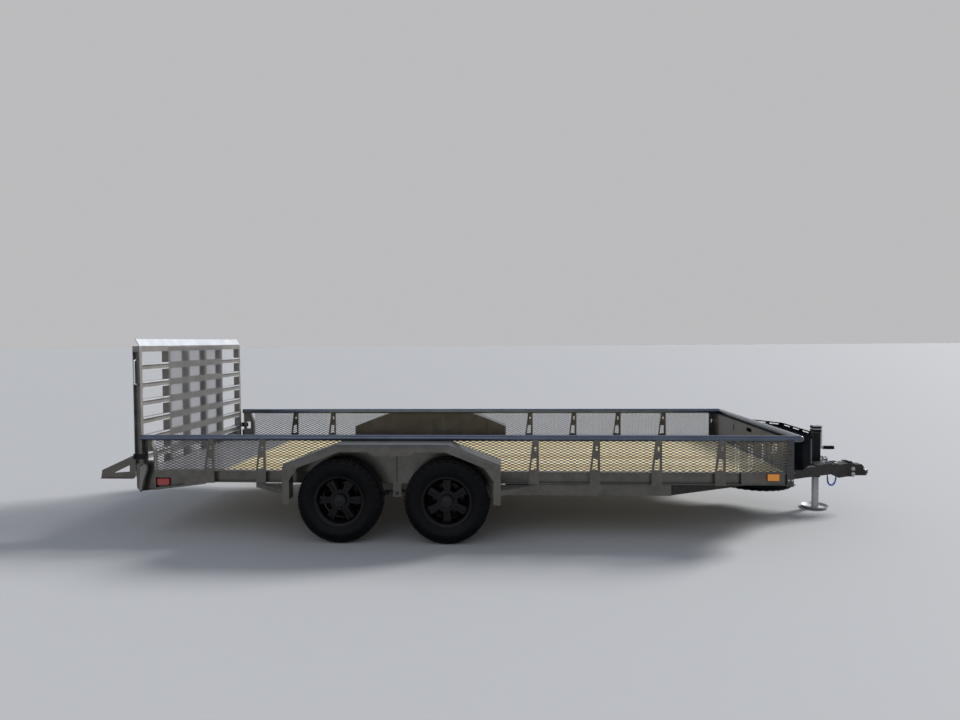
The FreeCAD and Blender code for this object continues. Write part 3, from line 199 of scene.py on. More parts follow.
zincSteel = paintFinish("zincSteel", zincPlate)
shadedChainSteel = paintFinish("shadedChainSteel", shadedChainZinc)
legSteel = paintFinish("legSteel", legZinc)

deckWood = dict(boards=14, gap=0.003, rough=0.62,
                tones=[(0.0, (0.68, 0.53, 0.25)), (0.5, (0.82, 0.68, 0.37)), (1.0, (0.90, 0.78, 0.47))],
                grain=(1.1, 34.0, 34.0), noise=(1.6, 6.0, 0.65),
                streaks=[(0.34, (0.55, 0.55, 0.55)), (0.50, (0.9, 0.9, 0.9)), (0.66, (1.0, 1.0, 1.0))],
                streakShare=0.85, bump=0.25, depth=0.004)


def boardPitch():
    low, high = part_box("deck_boards")
    return (high.y - low.y + deckWood["gap"]) / deckWood["boards"]


def woodFinish(name, look):
    # planed pine: grain along X, each board with its own tone
    finish, nodes, links, shader = shaderOf(name)
    split = nodes.new("ShaderNodeSeparateXYZ")
    links.new(objectCoords(nodes, links), split.inputs["Vector"])
    across = mathOf(nodes, links, "SUBTRACT", split.outputs["Y"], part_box("deck_boards")[0].y)
    board = mathOf(nodes, links, "FLOOR", mathOf(nodes, links, "DIVIDE", across, boardPitch()))
    tone = nodes.new("ShaderNodeTexWhiteNoise")
    tone.noise_dimensions = "1D"
    links.new(board, tone.inputs["W"])
    slide = nodes.new("ShaderNodeCombineXYZ")
    links.new(tone.outputs["Value"], slide.inputs["X"])
    links.new(board, slide.inputs["Z"])
    shifted = nodes.new("ShaderNodeVectorMath")
    links.new(objectCoords(nodes, links, look["grain"]), shifted.inputs[0])
    links.new(slide.outputs[0], shifted.inputs[1])
    grain = noiseOf(nodes, links, shifted.outputs[0], *look["noise"])
    mix = nodes.new("ShaderNodeMix")
    mix.data_type = "RGBA"
    mix.blend_type = "MULTIPLY"
    mix.inputs["Factor"].default_value = look["streakShare"]
    links.new(rampOf(nodes, links, tone.outputs["Value"], look["tones"]), mix.inputs["A"])
    links.new(rampOf(nodes, links, grain, look["streaks"]), mix.inputs["B"])
    links.new(mix.outputs["Result"], shader.inputs["Base Color"])
    shader.inputs["Roughness"].default_value = look["rough"]
    bumpOf(nodes, links, grain, look["bump"], look["depth"], shader)
    return finish


pineBoards = woodFinish("pineBoards", deckWood)

rubber = dict(dark=(0.0012, 0.0014, 0.0020), light=(0.0042, 0.0046, 0.0056), stops=(0.35, 0.75),
              dust=(14.0, 6.0, 0.7), rough=0.42, spec=0.12, pores=(260.0, 2.0), bump=0.15, depth=0.002)


def rubberFinish(name, look):
    finish, nodes, links, shader = shaderOf(name)
    vector = objectCoords(nodes, links)
    dust = noiseOf(nodes, links, vector, *look["dust"])
    tone = rampOf(nodes, links, dust, list(zip(look["stops"], (look["dark"], look["light"]))))
    links.new(tone, shader.inputs["Base Color"])
    shader.inputs["Roughness"].default_value = look["rough"]
    shader.inputs["Specular IOR Level"].default_value = look["spec"]
    bumpOf(nodes, links, noiseOf(nodes, links, vector, *look["pores"]), look["bump"], look["depth"], shader)
    return finish


tyreRubber = rubberFinish("tyreRubber", rubber)

amber = dict(color=(0.82, 0.29, 0.015), paintedGlow=0.04, flutes=60.0, rough=0.18, coat=0.6, bump=0.35, depth=0.002)
red = dict(amber, color=(0.36, 0.018, 0.014), paintedGlow=0.01)


def lensFinish(name, look):
    # moulded lens with fine upright flutes behind a clear skin, and a faint painted glow
    finish, nodes, links, shader = shaderOf(name)
    wave = nodes.new("ShaderNodeTexWave")
    wave.inputs["Scale"].default_value = look["flutes"]
    links.new(objectCoords(nodes, links), wave.inputs["Vector"])
    shader.inputs["Base Color"].default_value = (*look["color"], 1)
    shader.inputs["Roughness"].default_value = look["rough"]
    shader.inputs["Coat Weight"].default_value = look["coat"]
    shader.inputs["Emission Color"].default_value = (*look["color"], 1)
    shader.inputs["Emission Strength"].default_value = look["paintedGlow"]
    bumpOf(nodes, links, wave.outputs["Fac"], look["bump"], look["depth"], shader)
    return finish


amberLens = lensFinish("amberLens", amber)
redLens = lensFinish("redLens", red)


def plainFinish(name, color, rough, coat=0.0):
    finish, _, _, shader = shaderOf(name)
    shader.inputs["Base Color"].default_value = (*color, 1)
    shader.inputs["Roughness"].default_value = rough
    shader.inputs["Coat Weight"].default_value = coat
    return finish


blueCord = plainFinish("blueCord", color=(0.025, 0.085, 0.48), rough=0.35, coat=0.3)

slotFinish = dict(grey_paint=framePaint, pine_boards=pineBoards, zinc_steel=zincSteel, black_paint=blackPaint,
                  black_wheel=wheelPaint, tyre_rubber=tyreRubber, blue_cord=blueCord, amber_lens=amberLens,
                  red_lens=redLens)
nodeFinish = dict(top_rail_right=skyReflectionTubePaint, top_rail_left=skyReflectionTubePaint, front_rail=frontSkyReflectionTubePaint,
                  axles=axlePaint, leaf_springs=axlePaint, equalizers=axlePaint, tongue_beams=shadedBeamPaint,
                  coupler_bracket=shadedBeamPaint, coupler=shadedBeamPaint, gate_frame=gatePaint,
                  gate_handles=handleAndHighlightPaint, toolbox=boxPaint, toolbox_lid=boxPaint,
                  front_corner_posts=paintedShadePaint, jack_leg=legSteel)
for part in frame["record"]["subparts"]:
    shown = frame["nodes"][part["node"]]
    shown.data.materials.clear()
    shown.data.materials.append(nodeFinish.get(part["node"], slotFinish[part["material_slot"]]))
print("finishes set")


# Pieces

def shadeByAngle(bm, limit):
    for face in bm.faces:
        face.smooth = True
    for edge in bm.edges:
        if len(edge.link_faces) == 2 and edge.calc_face_angle(0.0) > radians(limit):
            edge.smooth = False


def newObject(name, data):
    made = bpy.data.objects.new(name, data)
    bpy.context.scene.collection.objects.link(made)
    return made


def pieceFrom(bm, name, finish, body, stands=(), limit=35.0):
    bmesh.ops.recalc_face_normals(bm, faces=bm.faces)
    shadeByAngle(bm, limit)
    mesh = bpy.data.meshes.new(name)
    bm.to_mesh(mesh)
    bm.free()
    mesh.materials.append(finish)
    piece = newObject(name, mesh)
    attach(piece, body)
    if stands:
        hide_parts(*stands)


def newCurve(name, kind, points):
    curve = bpy.data.curves.new(name, "CURVE")
    curve.dimensions = "3D"
    spline = curve.splines.new(kind)
    spline.points.add(len(points) - 1)
    for point, at in zip(spline.points, points):
        point.co = (*at, 1.0)
    return curve, spline


def vertsOf(items):
    return [item for item in items if isinstance(item, bmesh.types.BMVert)]


def edgesOf(items):
    return [item for item in items if isinstance(item, bmesh.types.BMEdge)]


def extrudeBy(bm, face, step):
    made = bmesh.ops.extrude_face_region(bm, geom=[face])
    end = [item for item in made["geom"] if isinstance(item, bmesh.types.BMFace)][0]
    bmesh.ops.translate(bm, verts=end.verts, vec=step)
    return end


def pushRim(bm, rim, step):
    # draws an open ring of edges along
    run = bmesh.ops.extrude_edge_only(bm, edges=rim)["geom"]
    bmesh.ops.translate(bm, verts=vertsOf(run), vec=step)
    return run


def turnRim(bm, rim, centre, axis, angle, steps):
    # draws it round a bend, and gives its last edges
    ring = vertsOf(rim) + edgesOf(rim)
    spun = bmesh.ops.spin(bm, geom=ring, cent=centre, axis=axis, angle=angle, steps=steps)
    return edgesOf(spun["geom_last"])


def turned(way):
    return Vector(way).to_track_quat("Z", "Y").to_matrix().to_4x4()


def addHead(bm, at, way, radius, height, sides=6, taper=0.86):
    place = Matrix.Translation(Vector(at) + Vector(way).normalized() * height * 0.5) @ turned(way)
    bmesh.ops.create_cone(bm, cap_ends=True, segments=sides, radius1=radius, radius2=radius * taper,
                          depth=height, matrix=place)


def addRod(bm, a, b, radius, sides):
    middle, way = (Vector(a) + Vector(b)) / 2, Vector(b) - Vector(a)
    bmesh.ops.create_cone(bm, cap_ends=True, segments=sides, radius1=radius, radius2=radius, depth=way.length,
                          matrix=Matrix.Translation(middle) @ turned(way))


def addBlock(bm, low, high):
    low, high = Vector(low), Vector(high)
    place = Matrix.Translation((low + high) / 2) @ Matrix.Diagonal((*(high - low), 1.0))
    bmesh.ops.create_cube(bm, size=1.0, matrix=place)


def addSideBlock(bm, side, low, high):
    # corners as on the left, put on the side asked for
    near, far = sorted((side * low[1], side * high[1]))
    addBlock(bm, (low[0], near, low[2]), (high[0], far, high[2]))


def uprightFace(bm, outline, y):
    # a flat face from points of station and height, both in millimetres
    return bm.faces.new([bm.verts.new((station(mm), y, z * 0.001)) for mm, z in outline])


def addCopy(shape, bm, place):
    # puts one small shape into a larger one and lets it go
    bmesh.ops.transform(bm, matrix=place, verts=bm.verts)
    spare = bpy.data.meshes.new("spareShape")
    bm.to_mesh(spare)
    bm.free()
    shape.from_mesh(spare)
    bpy.data.meshes.remove(spare)


def spunShape(profile, steps, closed=False):
    # (radius, height) points turned about Z
    bm = bmesh.new()
    verts = [bm.verts.new((r, 0.0, h)) for r, h in profile]
    ahead = verts[1:] + verts[:1] if closed else verts[1:]
    edges = [bm.edges.new(pair) for pair in zip(verts, ahead)]
    bmesh.ops.spin(bm, geom=verts + edges, cent=(0, 0, 0), axis=(0, 0, 1), angle=2 * pi, steps=steps,
                   use_merge=True)
    bmesh.ops.remove_doubles(bm, verts=bm.verts, dist=1e-6)
    return bm


def addBeads(bm, a, b, radius, apart=1.3):
    # weld: a row of small overlapping drops, so many radii apart
    way = Vector(b) - Vector(a)
    count = max(2, round(way.length / (radius * apart)))
    for drop in range(count + 1):
        bmesh.ops.create_icosphere(bm, subdivisions=1, radius=radius,
                                   matrix=Matrix.Translation(Vector(a) + way * drop / count))


# Expanded steel: slanting strands in zigzag rows, each row the next one's mirror image
sideSteel = dict(long=0.0535, short=0.0236, strand=0.0060, plate=0.0024, bond=0.0140)
gateSteel = dict(sideSteel, strand=0.0063, plate=0.0028, bond=0.0150)


def strandRow(bm, weave, columns, pitch, swing, depth, start):
    half, plate = weave["strand"] / 2, weave["plate"]
    section = [(-half, 0.0), (-half + plate, 0.0), (half, depth), (half - plate, depth)]
    end = bm.faces.new([bm.verts.new((0.0, start + v, w)) for v, w in section])
    slope = pitch / 2 - weave["bond"]
    way = -1 if start > 0 else 1
    for column in range(columns):
        for du, dv in ((slope, way), (weave["bond"], 0), (slope, -way), (weave["bond"], 0)):
            end = extrudeBy(bm, end, (du, dv * 2 * swing, 0.0))


def expandedSheet(weave, length, height, depth):
    # lies in its own XY plane, with the long way of the mesh along X
    bm = bmesh.new()
    columns = round(length / weave["long"])
    pairs = round(height / weave["short"])
    lift = height / pairs / 2
    swing = (lift - weave["strand"]) / 2
    strandRow(bm, weave, columns, length / columns, swing, depth, swing)
    lower = list(bm.verts)
    strandRow(bm, weave, columns, length / columns, swing, depth, -swing)
    bm.verts.ensure_lookup_table()
    upper = bm.verts[len(lower):]
    bmesh.ops.translate(bm, verts=lower, vec=(0.0, lift / 2, 0.0))
    bmesh.ops.translate(bm, verts=upper, vec=(0.0, lift * 1.5, 0.0))
    pair = bm.verts[:] + bm.edges[:] + bm.faces[:]
    for count in range(1, pairs):
        copy = bmesh.ops.duplicate(bm, geom=pair)["geom"]
        bmesh.ops.translate(bm, verts=vertsOf(copy), vec=(0.0, 2 * lift * count, 0.0))
    return bm


def sideMesh(side, node):
    low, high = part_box(node)
    bm = expandedSheet(sideSteel, high.x - low.x, high.z - low.z, high.y - low.y)
    outer = low.y if side < 0 else high.y
    place = Matrix(((1, 0, 0, low.x), (0, 0, -side, outer), (0, 1, 0, low.z), (0, 0, 0, 1)))
    bmesh.ops.transform(bm, matrix=place, verts=bm.verts)
    pieceFrom(bm, "sideMesh" + ("Right" if side < 0 else "Left"), meshPaint, "chassis", (node,))


def gateMesh():
    low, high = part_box("gate_mesh")
    bm = expandedSheet(gateSteel, high.y - low.y, high.z - low.z, high.x - low.x)
    place = Matrix(((0, 0, 1, low.x), (1, 0, 0, low.y), (0, 1, 0, low.z), (0, 0, 0, 1)))
    bmesh.ops.transform(bm, matrix=place, verts=bm.verts)
    pieceFrom(bm, "gateMesh", gateMeshPaint, "gate", ("gate_mesh",))


sideMesh(-1, "side_mesh_right")
sideMesh(1, "side_mesh_left")
gateMesh()
print("expanded steel done")

# Tyres: a spun profile of radius and half width, whose tread faces are raised into blocks
tyre = dict(steps=64, lug=0.0085, cut=0.0034, shoulder=0.6, chevron=0.055, crease=28.0,
            side=[(0.1915, 0.068), (0.2000, 0.079), (0.2030, 0.0835), (0.2130, 0.0870), (0.2150, 0.0850),
                  (0.2400, 0.0965), (0.2640, 0.1015), (0.2700, 0.1024), (0.2760, 0.1024), (0.2780, 0.1000),
                  (0.2950, 0.0990), (0.2970, 0.0962), (0.3170, 0.0915)],
            tread=[(0.3280, 0.0830), (0.3335, 0.0640), (0.3352, 0.0400), (0.3355, 0.0170)])
wheelNames = [end + "_" + side for end in ("rear", "front") for side in ("right", "left")]


def tyreShape(look):
    bm = bmesh.new()
    half = look["side"] + look["tread"]
    profile = half + [(r, -w) for r, w in reversed(half)]
    verts = [bm.verts.new((r, w, 0.0)) for r, w in profile]
    edges = [bm.edges.new(pair) for pair in zip(verts, verts[1:] + verts[:1])]
    bmesh.ops.spin(bm, geom=verts + edges, cent=(0, 0, 0), axis=(0, 1, 0), angle=2 * pi, steps=look["steps"],
                   use_merge=True)
    bmesh.ops.recalc_face_normals(bm, faces=bm.faces)
    treadStart, treadHalf = look["tread"][0]
    wallEnd = look["side"][-2][0]
    crown, shoulder = [], []
    for face in bm.faces:
        middle = face.calc_center_median()
        radius = Vector((middle.x, middle.z)).length
        turn = round((atan2(middle.z, middle.x) / (2 * pi)) * look["steps"] - 0.5)
        if radius > treadStart and abs(middle.y) < treadHalf:
            crown.append(face)
        elif wallEnd < radius < treadStart and turn % 2 == 0:
            shoulder.append(face)
    for faces, share in ((crown, 1.0), (shoulder, look["shoulder"])):
        bmesh.ops.inset_individual(bm, faces=faces, thickness=look["cut"] * share, depth=look["lug"] * share,
                                   use_even_offset=True)
    for vert in bm.verts:
        if Vector((vert.co.x, vert.co.z)).length > wallEnd:
            twist = look["chevron"] * abs(vert.co.y) / treadHalf
            vert.co = Matrix.Rotation(twist, 4, "Y") @ vert.co
    return bm


def middleOf(node):
    low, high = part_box(node)
    return (low + high) / 2


def wheelPiece(wheel, what):
    return wheel.replace("_r", "R").replace("_l", "L") + what


def wheelSide(wheel):
    return -1 if wheel.endswith("right") else 1


def wheelTyre(wheel):
    shape = tyreShape(tyre)
    bmesh.ops.translate(shape, verts=shape.verts, vec=wheelCentre[wheel])
    pieceFrom(shape, wheelPiece(wheel, "Tyre"), tyreRubber, wheel + "_wheel",
              (wheel + "_tyre",), tyre["crease"])


def spareTyre():
    shape = tyreShape(tyre)
    place = Matrix.Translation(middleOf("spare_tyre")) @ Matrix.Rotation(pi / 2, 4, "X")
    bmesh.ops.transform(shape, matrix=place, verts=shape.verts)
    pieceFrom(shape, "spareTyre", tyreRubber, "chassis", ("spare_tyre",), tyre["crease"])


wheelCentre = {wheel: middleOf(wheel + "_tyre") for wheel in wheelNames}
for wheel in wheelNames:
    wheelTyre(wheel)
spareTyre()
print("tyres done")

# Lug nuts, a valve and a plain centre cap on each wheel; first is where the first nut stands, in degrees
lugs = dict(count=6, circle=0.0698, radius=0.0108, height=0.019, face=0.039, washer=1.25, washerHeight=0.003,
            first=dict(rear=30.0, front=60.0))
valve = dict(circle=0.155, turn=100.0, face=0.050, radius=0.004, height=0.024)
cap = dict(face=0.066, steps=32,
           profile=[(0.0, 0.0030), (0.030, 0.0030), (0.032, 0.0018), (0.038, 0.0018), (0.041, 0.0040),
                    (0.046, 0.0040), (0.049, 0.0015), (0.0512, -0.0060)])


def onWheel(wheel, look, degrees):
    # a place on the wheel's outer face, on the circle that the look names
    out, turn = wheelSide(wheel), radians(degrees)
    place = Vector((look["circle"] * cos(turn), out * look["face"], look["circle"] * sin(turn)))
    return wheelCentre[wheel] + place


def wheelNuts(wheel):
    shape = bmesh.new()
    way = (0, wheelSide(wheel), 0)
    first = lugs["first"][wheel.split("_")[0]]
    for count in range(lugs["count"]):
        at = onWheel(wheel, lugs, first + 360.0 * count / lugs["count"])
        addHead(shape, at, way, lugs["radius"], lugs["height"], taper=0.8)
        addHead(shape, at, way, lugs["radius"] * lugs["washer"], lugs["washerHeight"], sides=12, taper=1.0)
    at = onWheel(wheel, valve, valve["turn"])
    addHead(shape, at, way, valve["radius"], valve["height"], sides=8, taper=0.8)
    pieceFrom(shape, wheelPiece(wheel, "LugNuts"), capPaint, wheel + "_wheel")


def centreCap(wheel):
    shape = bmesh.new()
    out = wheelSide(wheel)
    place = Matrix.Translation(wheelCentre[wheel] + Vector((0, out * cap["face"], 0))) @ turned((0, out, 0))
    addCopy(shape, spunShape(cap["profile"], cap["steps"]), place)
    pieceFrom(shape, wheelPiece(wheel, "CentreCap"), capPaint, wheel + "_wheel")


for wheel in wheelNames:
    wheelNuts(wheel)
    centreCap(wheel)
print("lug nuts done")

# Steel tail over the rear of the boards, with raised treads set crosswise in turn; its lighter paint is
# painted sunlight
tail = dict(rear=24, end=722, inset=0.002, lift=0.0022, tread=0.0018, pitch=0.034, long=0.027, wide=0.0075,
            taper=0.6)


def tailPlate(look):
    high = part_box("deck_boards")[1]
    x0, x1, side = station(look["rear"]), station(look["end"]), high.y - look["inset"]
    top = high.z + look["lift"]
    shape = bmesh.new()
    addBlock(shape, (x0, -side, high.z), (x1, side, top))
    rows, columns = int((x1 - x0) / look["pitch"]), int(2 * side / look["pitch"])
    size = Matrix.Diagonal((look["long"] / 2, look["wide"] / 2, look["tread"], 1.0))
    for row in range(rows):
        for column in range(columns):
            along = (x0 + x1) / 2 + (row - (rows - 1) / 2) * look["pitch"]
            across = (column - (columns - 1) / 2) * look["pitch"]
            spin = Matrix.Rotation(radians(45 + 90 * ((row + column) % 2)), 4, "Z")
            place = Matrix.Translation((along, across, top + look["tread"] / 2)) @ spin @ size
            bmesh.ops.create_cone(shape, cap_ends=True, segments=6, radius1=1.0, radius2=look["taper"],
                                  depth=1.0, matrix=place)
    pieceFrom(shape, "tailPlate", sunlitTailPaint, "chassis")


tailPlate(tail)
print("tail done")

# Fixings on the chassis
screws = dict(stations=(884, 1289, 1694, 2099, 2504, 2909, 3314, 3719, 4124, 4529, 4969), inset=0.030,
              radius=0.0055, height=0.0012)


def deckScrews(look):
    low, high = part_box("deck_boards")
    pitch = boardPitch()
    shape = bmesh.new()
    for mm in look["stations"]:
        for board in range(deckWood["boards"]):
            for inset in (look["inset"], pitch - deckWood["gap"] - look["inset"]):
                at = (station(mm), low.y + board * pitch + inset, high.z)
                addHead(shape, at, (0, 0, 1), look["radius"], look["height"], sides=8, taper=0.8)
    pieceFrom(shape, "deckScrews", zincSteel, "chassis")


# nuts of the springs' pins, each on a washer that is so many times as wide
springs = dict(axles=(1774, 2644), half=330, eyeZ=0.361, nut=0.0115, height=0.009, middle=2209,
               block=58, reach=105, washer=1.35, washerHeight=0.0022)


def springNuts(look):
    shape = bmesh.new()
    rear, front = look["axles"]
    pins = [rear - look["half"], front + look["half"], look["middle"]]
    pins += [look["middle"] + way * reach for way in (-1, 1) for reach in (look["block"], look["reach"])]
    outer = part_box("spring_hangers")[1].y
    for side in (-1, 1):
        for mm in pins:
            at = (station(mm), side * outer, look["eyeZ"])
            addHead(shape, at, (0, side, 0), look["nut"], look["height"])
            addHead(shape, at, (0, side, 0), look["nut"] * look["washer"], look["washerHeight"], sides=16,
                    taper=1.0)
    pieceFrom(shape, "springNuts", boltSteel, "chassis")


# side bolts: station (mm), side face Y, height, radius, head height
sideBolts = dict(rows=[(6391, 0.057, 0.337, 0.0135, 0.010), (6391, 0.057, 0.388, 0.0135, 0.010),
                       (5385, 1.055, 0.487, 0.0060, 0.003), (5411, 1.055, 0.487, 0.0060, 0.003)],
                 washer=1.3, washerHeight=0.0024, stem=0.5, stemOut=0.004)
topBolts = dict(stations=(5992, 6140), across=0.060, z=0.453, radius=0.010, height=0.007)


def frameBolts(look, top):
    shape = bmesh.new()
    for side in (-1, 1):
        for mm, face, z, radius, height in look["rows"]:
            at, way = (station(mm), side * face, z), (0, side, 0)
            addHead(shape, at, way, radius * look["washer"], look["washerHeight"], sides=18, taper=1.0)
            addHead(shape, at, way, radius, height)
            addHead(shape, at, way, radius * look["stem"], height + look["stemOut"], sides=12, taper=0.9)
        for mm in top["stations"]:
            at = (station(mm), side * top["across"], top["z"])
            addHead(shape, at, (0, 0, 1), top["radius"], top["height"])
    pieceFrom(shape, "frameBolts", zincSteel, "chassis")


# U-bolts that clamp each spring to its axle, with the plate below; a ring is its place across and its radius
clamps = dict(axleZ=0.344, wire=0.006, rings=((0.993, 0.044), (1.049, 0.053)), top=0.269, plate=0.010,
              halfX=0.066, inner=0.982, outer=1.059, tail=0.246, nut=0.0095, nutHeight=0.009)


def bentRod(wire, arch, drop):
    # leg, half ring and leg, in the XZ plane with the ring's centre at the origin
    bm = bmesh.new()
    bmesh.ops.create_circle(bm, segments=8, radius=wire, matrix=Matrix.Translation((-arch, 0, -drop)))
    leg = pushRim(bm, list(bm.edges), (0, 0, drop))
    pushRim(bm, turnRim(bm, leg, (0, 0, 0), (0, 1, 0), pi, 10), (0, 0, -drop))
    bmesh.ops.remove_doubles(bm, verts=bm.verts, dist=1e-5)
    bmesh.ops.holes_fill(bm, edges=[edge for edge in bm.edges if len(edge.link_faces) == 1])
    return bm


def axleClamps(look):
    shape = bmesh.new()
    under = look["top"] - look["plate"]
    for mm in springs["axles"]:
        x = station(mm)
        for side in (-1, 1):
            addSideBlock(shape, side, (x - look["halfX"], look["inner"], under),
                         (x + look["halfX"], look["outer"], look["top"]))
            for across, arch in look["rings"]:
                addCopy(shape, bentRod(look["wire"], arch, look["axleZ"] - look["tail"]),
                        Matrix.Translation((x, side * across, look["axleZ"])))
                for reach in (-arch, arch):
                    at = (x + reach, side * across, under)
                    addHead(shape, at, (0, 0, -1), look["nut"], look["nutHeight"])
    pieceFrom(shape, "axleClamps", boltSteel, "chassis")


# Brake plates that close the wheels from behind
brakes = dict(axleZ=0.344, face=1.0625, steps=48,
              profile=[(0.1295, 0.0), (0.1295, 0.0040), (0.1500, 0.0100), (0.1690, 0.0330), (0.1745, 0.0350),
                       (0.1720, 0.0290), (0.1520, 0.0050), (0.1400, 0.0)])


def brakePlates(look):
    shape = bmesh.new()
    for mm in springs["axles"]:
        for side in (-1, 1):
            at = Matrix.Translation((station(mm), side * look["face"], look["axleZ"]))
            addCopy(shape, spunShape(look["profile"], look["steps"], closed=True), at @ turned((0, side, 0)))
    pieceFrom(shape, "brakePlates", axlePaint, "chassis")


# Painted highlight: a bright skin on the face of the gate's lip, standing in for glare, from (station,
# height) to (station, height)
lip = dict(foot=(-14, 1.6005), head=(-51, 1.6615), half=0.994, skin=0.0006)


def lipHighlight(look):
    shape = bmesh.new()
    (footX, footZ), (headX, headZ) = look["foot"], look["head"]
    half = look["half"]
    corners = [(footX, -half, footZ), (footX, half, footZ), (headX, half, headZ), (headX, -half, headZ)]
    face = shape.faces.new([shape.verts.new((station(mm), y, z)) for mm, y, z in corners])
    out = Vector((headZ - footZ, 0, (footX - headX) * 0.001)).normalized()
    extrudeBy(shape, face, out * look["skin"])
    pieceFrom(shape, "lipHighlight", handleAndHighlightPaint, "gate")


# Painted highlights along the edges and painted shade in the throat of each rung's face, beside the mesh, as
# distances below its top
rungLightAndShade = dict(count=6, first=0.670, last=1.450, end=0.960, face=-14, skin=0.0006, clear=0.001,
                bright=((0.013, 0.0), (0.060, 0.052)), shadeBand=(0.026, 0.016))


def rungFaces(look):
    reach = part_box("gate_mesh")[1].y + look["clear"]
    x = station(look["face"])
    edges, shadeStrips = bmesh.new(), bmesh.new()
    strips = [(edges, down, up) for down, up in look["bright"]] + [(shadeStrips, *look["shadeBand"])]
    for count in range(look["count"]):
        top = look["first"] + (look["last"] - look["first"]) * count / (look["count"] - 1)
        for side in (-1, 1):
            for shape, down, up in strips:
                addSideBlock(shape, side, (x, reach, top - down), (x + look["skin"], look["end"], top - up))
    pieceFrom(edges, "rungHighlights", handleAndHighlightPaint, "gate")
    pieceFrom(shadeStrips, "rungShadeStrips", paintedShadePaint, "gate")


# The frame's own paint on the outer faces of the parallel beams, over the painted shade of the beams' dark
# paint, and the black skin of the jack's cap
beamSkin = dict(start=3112, end=4459, low=0.350, high=0.437, face=1.0350, skin=0.0006)
capSkin = dict(x=6066, half=0.0366, tiers=((0.7280, 0.7565), (0.7655, 0.7860)))


def beamFaces(look):
    shape = bmesh.new()
    for side in (-1, 1):
        addSideBlock(shape, side, (station(look["start"]), look["face"], look["low"]),
                     (station(look["end"]), look["face"] + look["skin"], look["high"]))
    pieceFrom(shape, "beamFaces", framePaint, "chassis")


def capTiers(look):
    shape = bmesh.new()
    x, half = station(look["x"]), look["half"]
    for low, high in look["tiers"]:
        addBlock(shape, (x - half, -half, low), (x + half, half, high))
    pieceFrom(shape, "jackCapSkin", blackPaint, "chassis")


deckScrews(screws)
springNuts(springs)
frameBolts(sideBolts, topBolts)
axleClamps(clamps)
brakePlates(brakes)
lipHighlight(lip)
rungFaces(rungLightAndShade)
beamFaces(beamSkin)
capTiers(capSkin)
print("fixings done")

# Dark strip in the seam of each backing, and painted shade on the field between the corner plate's ribs
seam = dict(stations=(2206, 2213), low=0.459, high=0.679, back=1.0508, face=1.0518)
ear = dict(face=1.060, lift=0.0009,
           outline=[(14, 590), (56, 594), (72, 575), (70, 547), (43, 479), (20, 380), (2, 384)])


def seamAndShadeInlays():
    shape = bmesh.new()
    start, end = seam["stations"]
    for side in (-1, 1):
        addSideBlock(shape, side, (station(start), seam["back"], seam["low"]),
                     (station(end), seam["face"], seam["high"]))
        extrudeBy(shape, uprightFace(shape, ear["outline"], side * ear["face"]), (0, side * ear["lift"], 0))
    pieceFrom(shape, "seamAndShadeInlays", blackPaint, "chassis")


seamAndShadeInlays()

# Painted highlights on the faces of the corner plate's ribs, and painted shade lining the rear lamp's pocket
ribs = dict(count=10, first=352, pitch=22, height=9, slope=(80, 56), face=1.068, lift=0.0004)
pocket = dict(outline=[(140, 398), (388, 426), (388, 486), (140, 486)], floor=1.0312, wall=0.006,
              proud=0.0241)


def ribHighlights(look):
    shape = bmesh.new()
    run, rise = look["slope"]
    across = Vector((-rise, 0, run)).normalized()
    for side in (-1, 1):
        for rib in range(look["count"]):
            bm = bmesh.new()
            bm.faces.new([bm.verts.new((mm * 0.001, 0, z * 0.001)) for mm, z in ear["outline"]])
            low = look["first"] + look["pitch"] * rib
            for z, above in ((low, False), (low + look["height"], True)):
                everything = bm.verts[:] + bm.edges[:] + bm.faces[:]
                bmesh.ops.bisect_plane(bm, geom=everything, plane_no=across, plane_co=(0, 0, z * 0.001),
                                       clear_outer=above, clear_inner=not above)
            for face in list(bm.faces):
                extrudeBy(bm, face, (0, side * look["lift"], 0))
            addCopy(shape, bm, Matrix.Translation((station(0), side * look["face"], 0)))
    pieceFrom(shape, "ribHighlights", ribHighlightPaint, "chassis")


# painted shade: a dark ring on the pocket's floor, drawn out to its mouth
def pocketShade(look):
    shape = bmesh.new()
    for side in (-1, 1):
        middle = uprightFace(shape, look["outline"], side * look["floor"])
        ring = bmesh.ops.inset_region(shape, faces=[middle], thickness=look["wall"], use_boundary=True,
                                     use_even_offset=True)["faces"]
        bmesh.ops.delete(shape, geom=[middle], context="FACES_ONLY")
        made = bmesh.ops.extrude_face_region(shape, geom=ring)["geom"]
        bmesh.ops.translate(shape, verts=vertsOf(made), vec=(0, side * look["proud"], 0))
    pieceFrom(shape, "pocketShade", blackPaint, "chassis")


ribHighlights(ribs)
pocketShade(pocket)

# Plates behind the front panel's two slits
slits = dict(panel=5427, places=(-0.385, 0.385), half=0.018, low=0.688, high=0.764, thick=0.002)


def slitPlates(look):
    shape = bmesh.new()
    x, half = station(look["panel"]), look["half"]
    for y in look["places"]:
        addBlock(shape, (x, y - half, look["low"]), (x + look["thick"], y + half, look["high"]))
    pieceFrom(shape, "slitPlates", blackPaint, "chassis")


slitPlates(slits)

# Rubber plugs in the top rail's rear ends, and frames round the lamps
plug = dict(profile=[(0.0, 0.0030), (0.018, 0.0024), (0.0235, 0.0004), (0.0240, -0.0030), (0.0, -0.0030)],
            steps=24)
# a lamp is its station (mm), height, width, tallness and the face that it stands on
lampFrame = dict(rim=0.005, proud=0.003, back=0.004,
                 lamps=((5265, 0.509, 0.090, 0.054, 1.038), (198.5, 0.446, 0.105, 0.052, 1.031)))


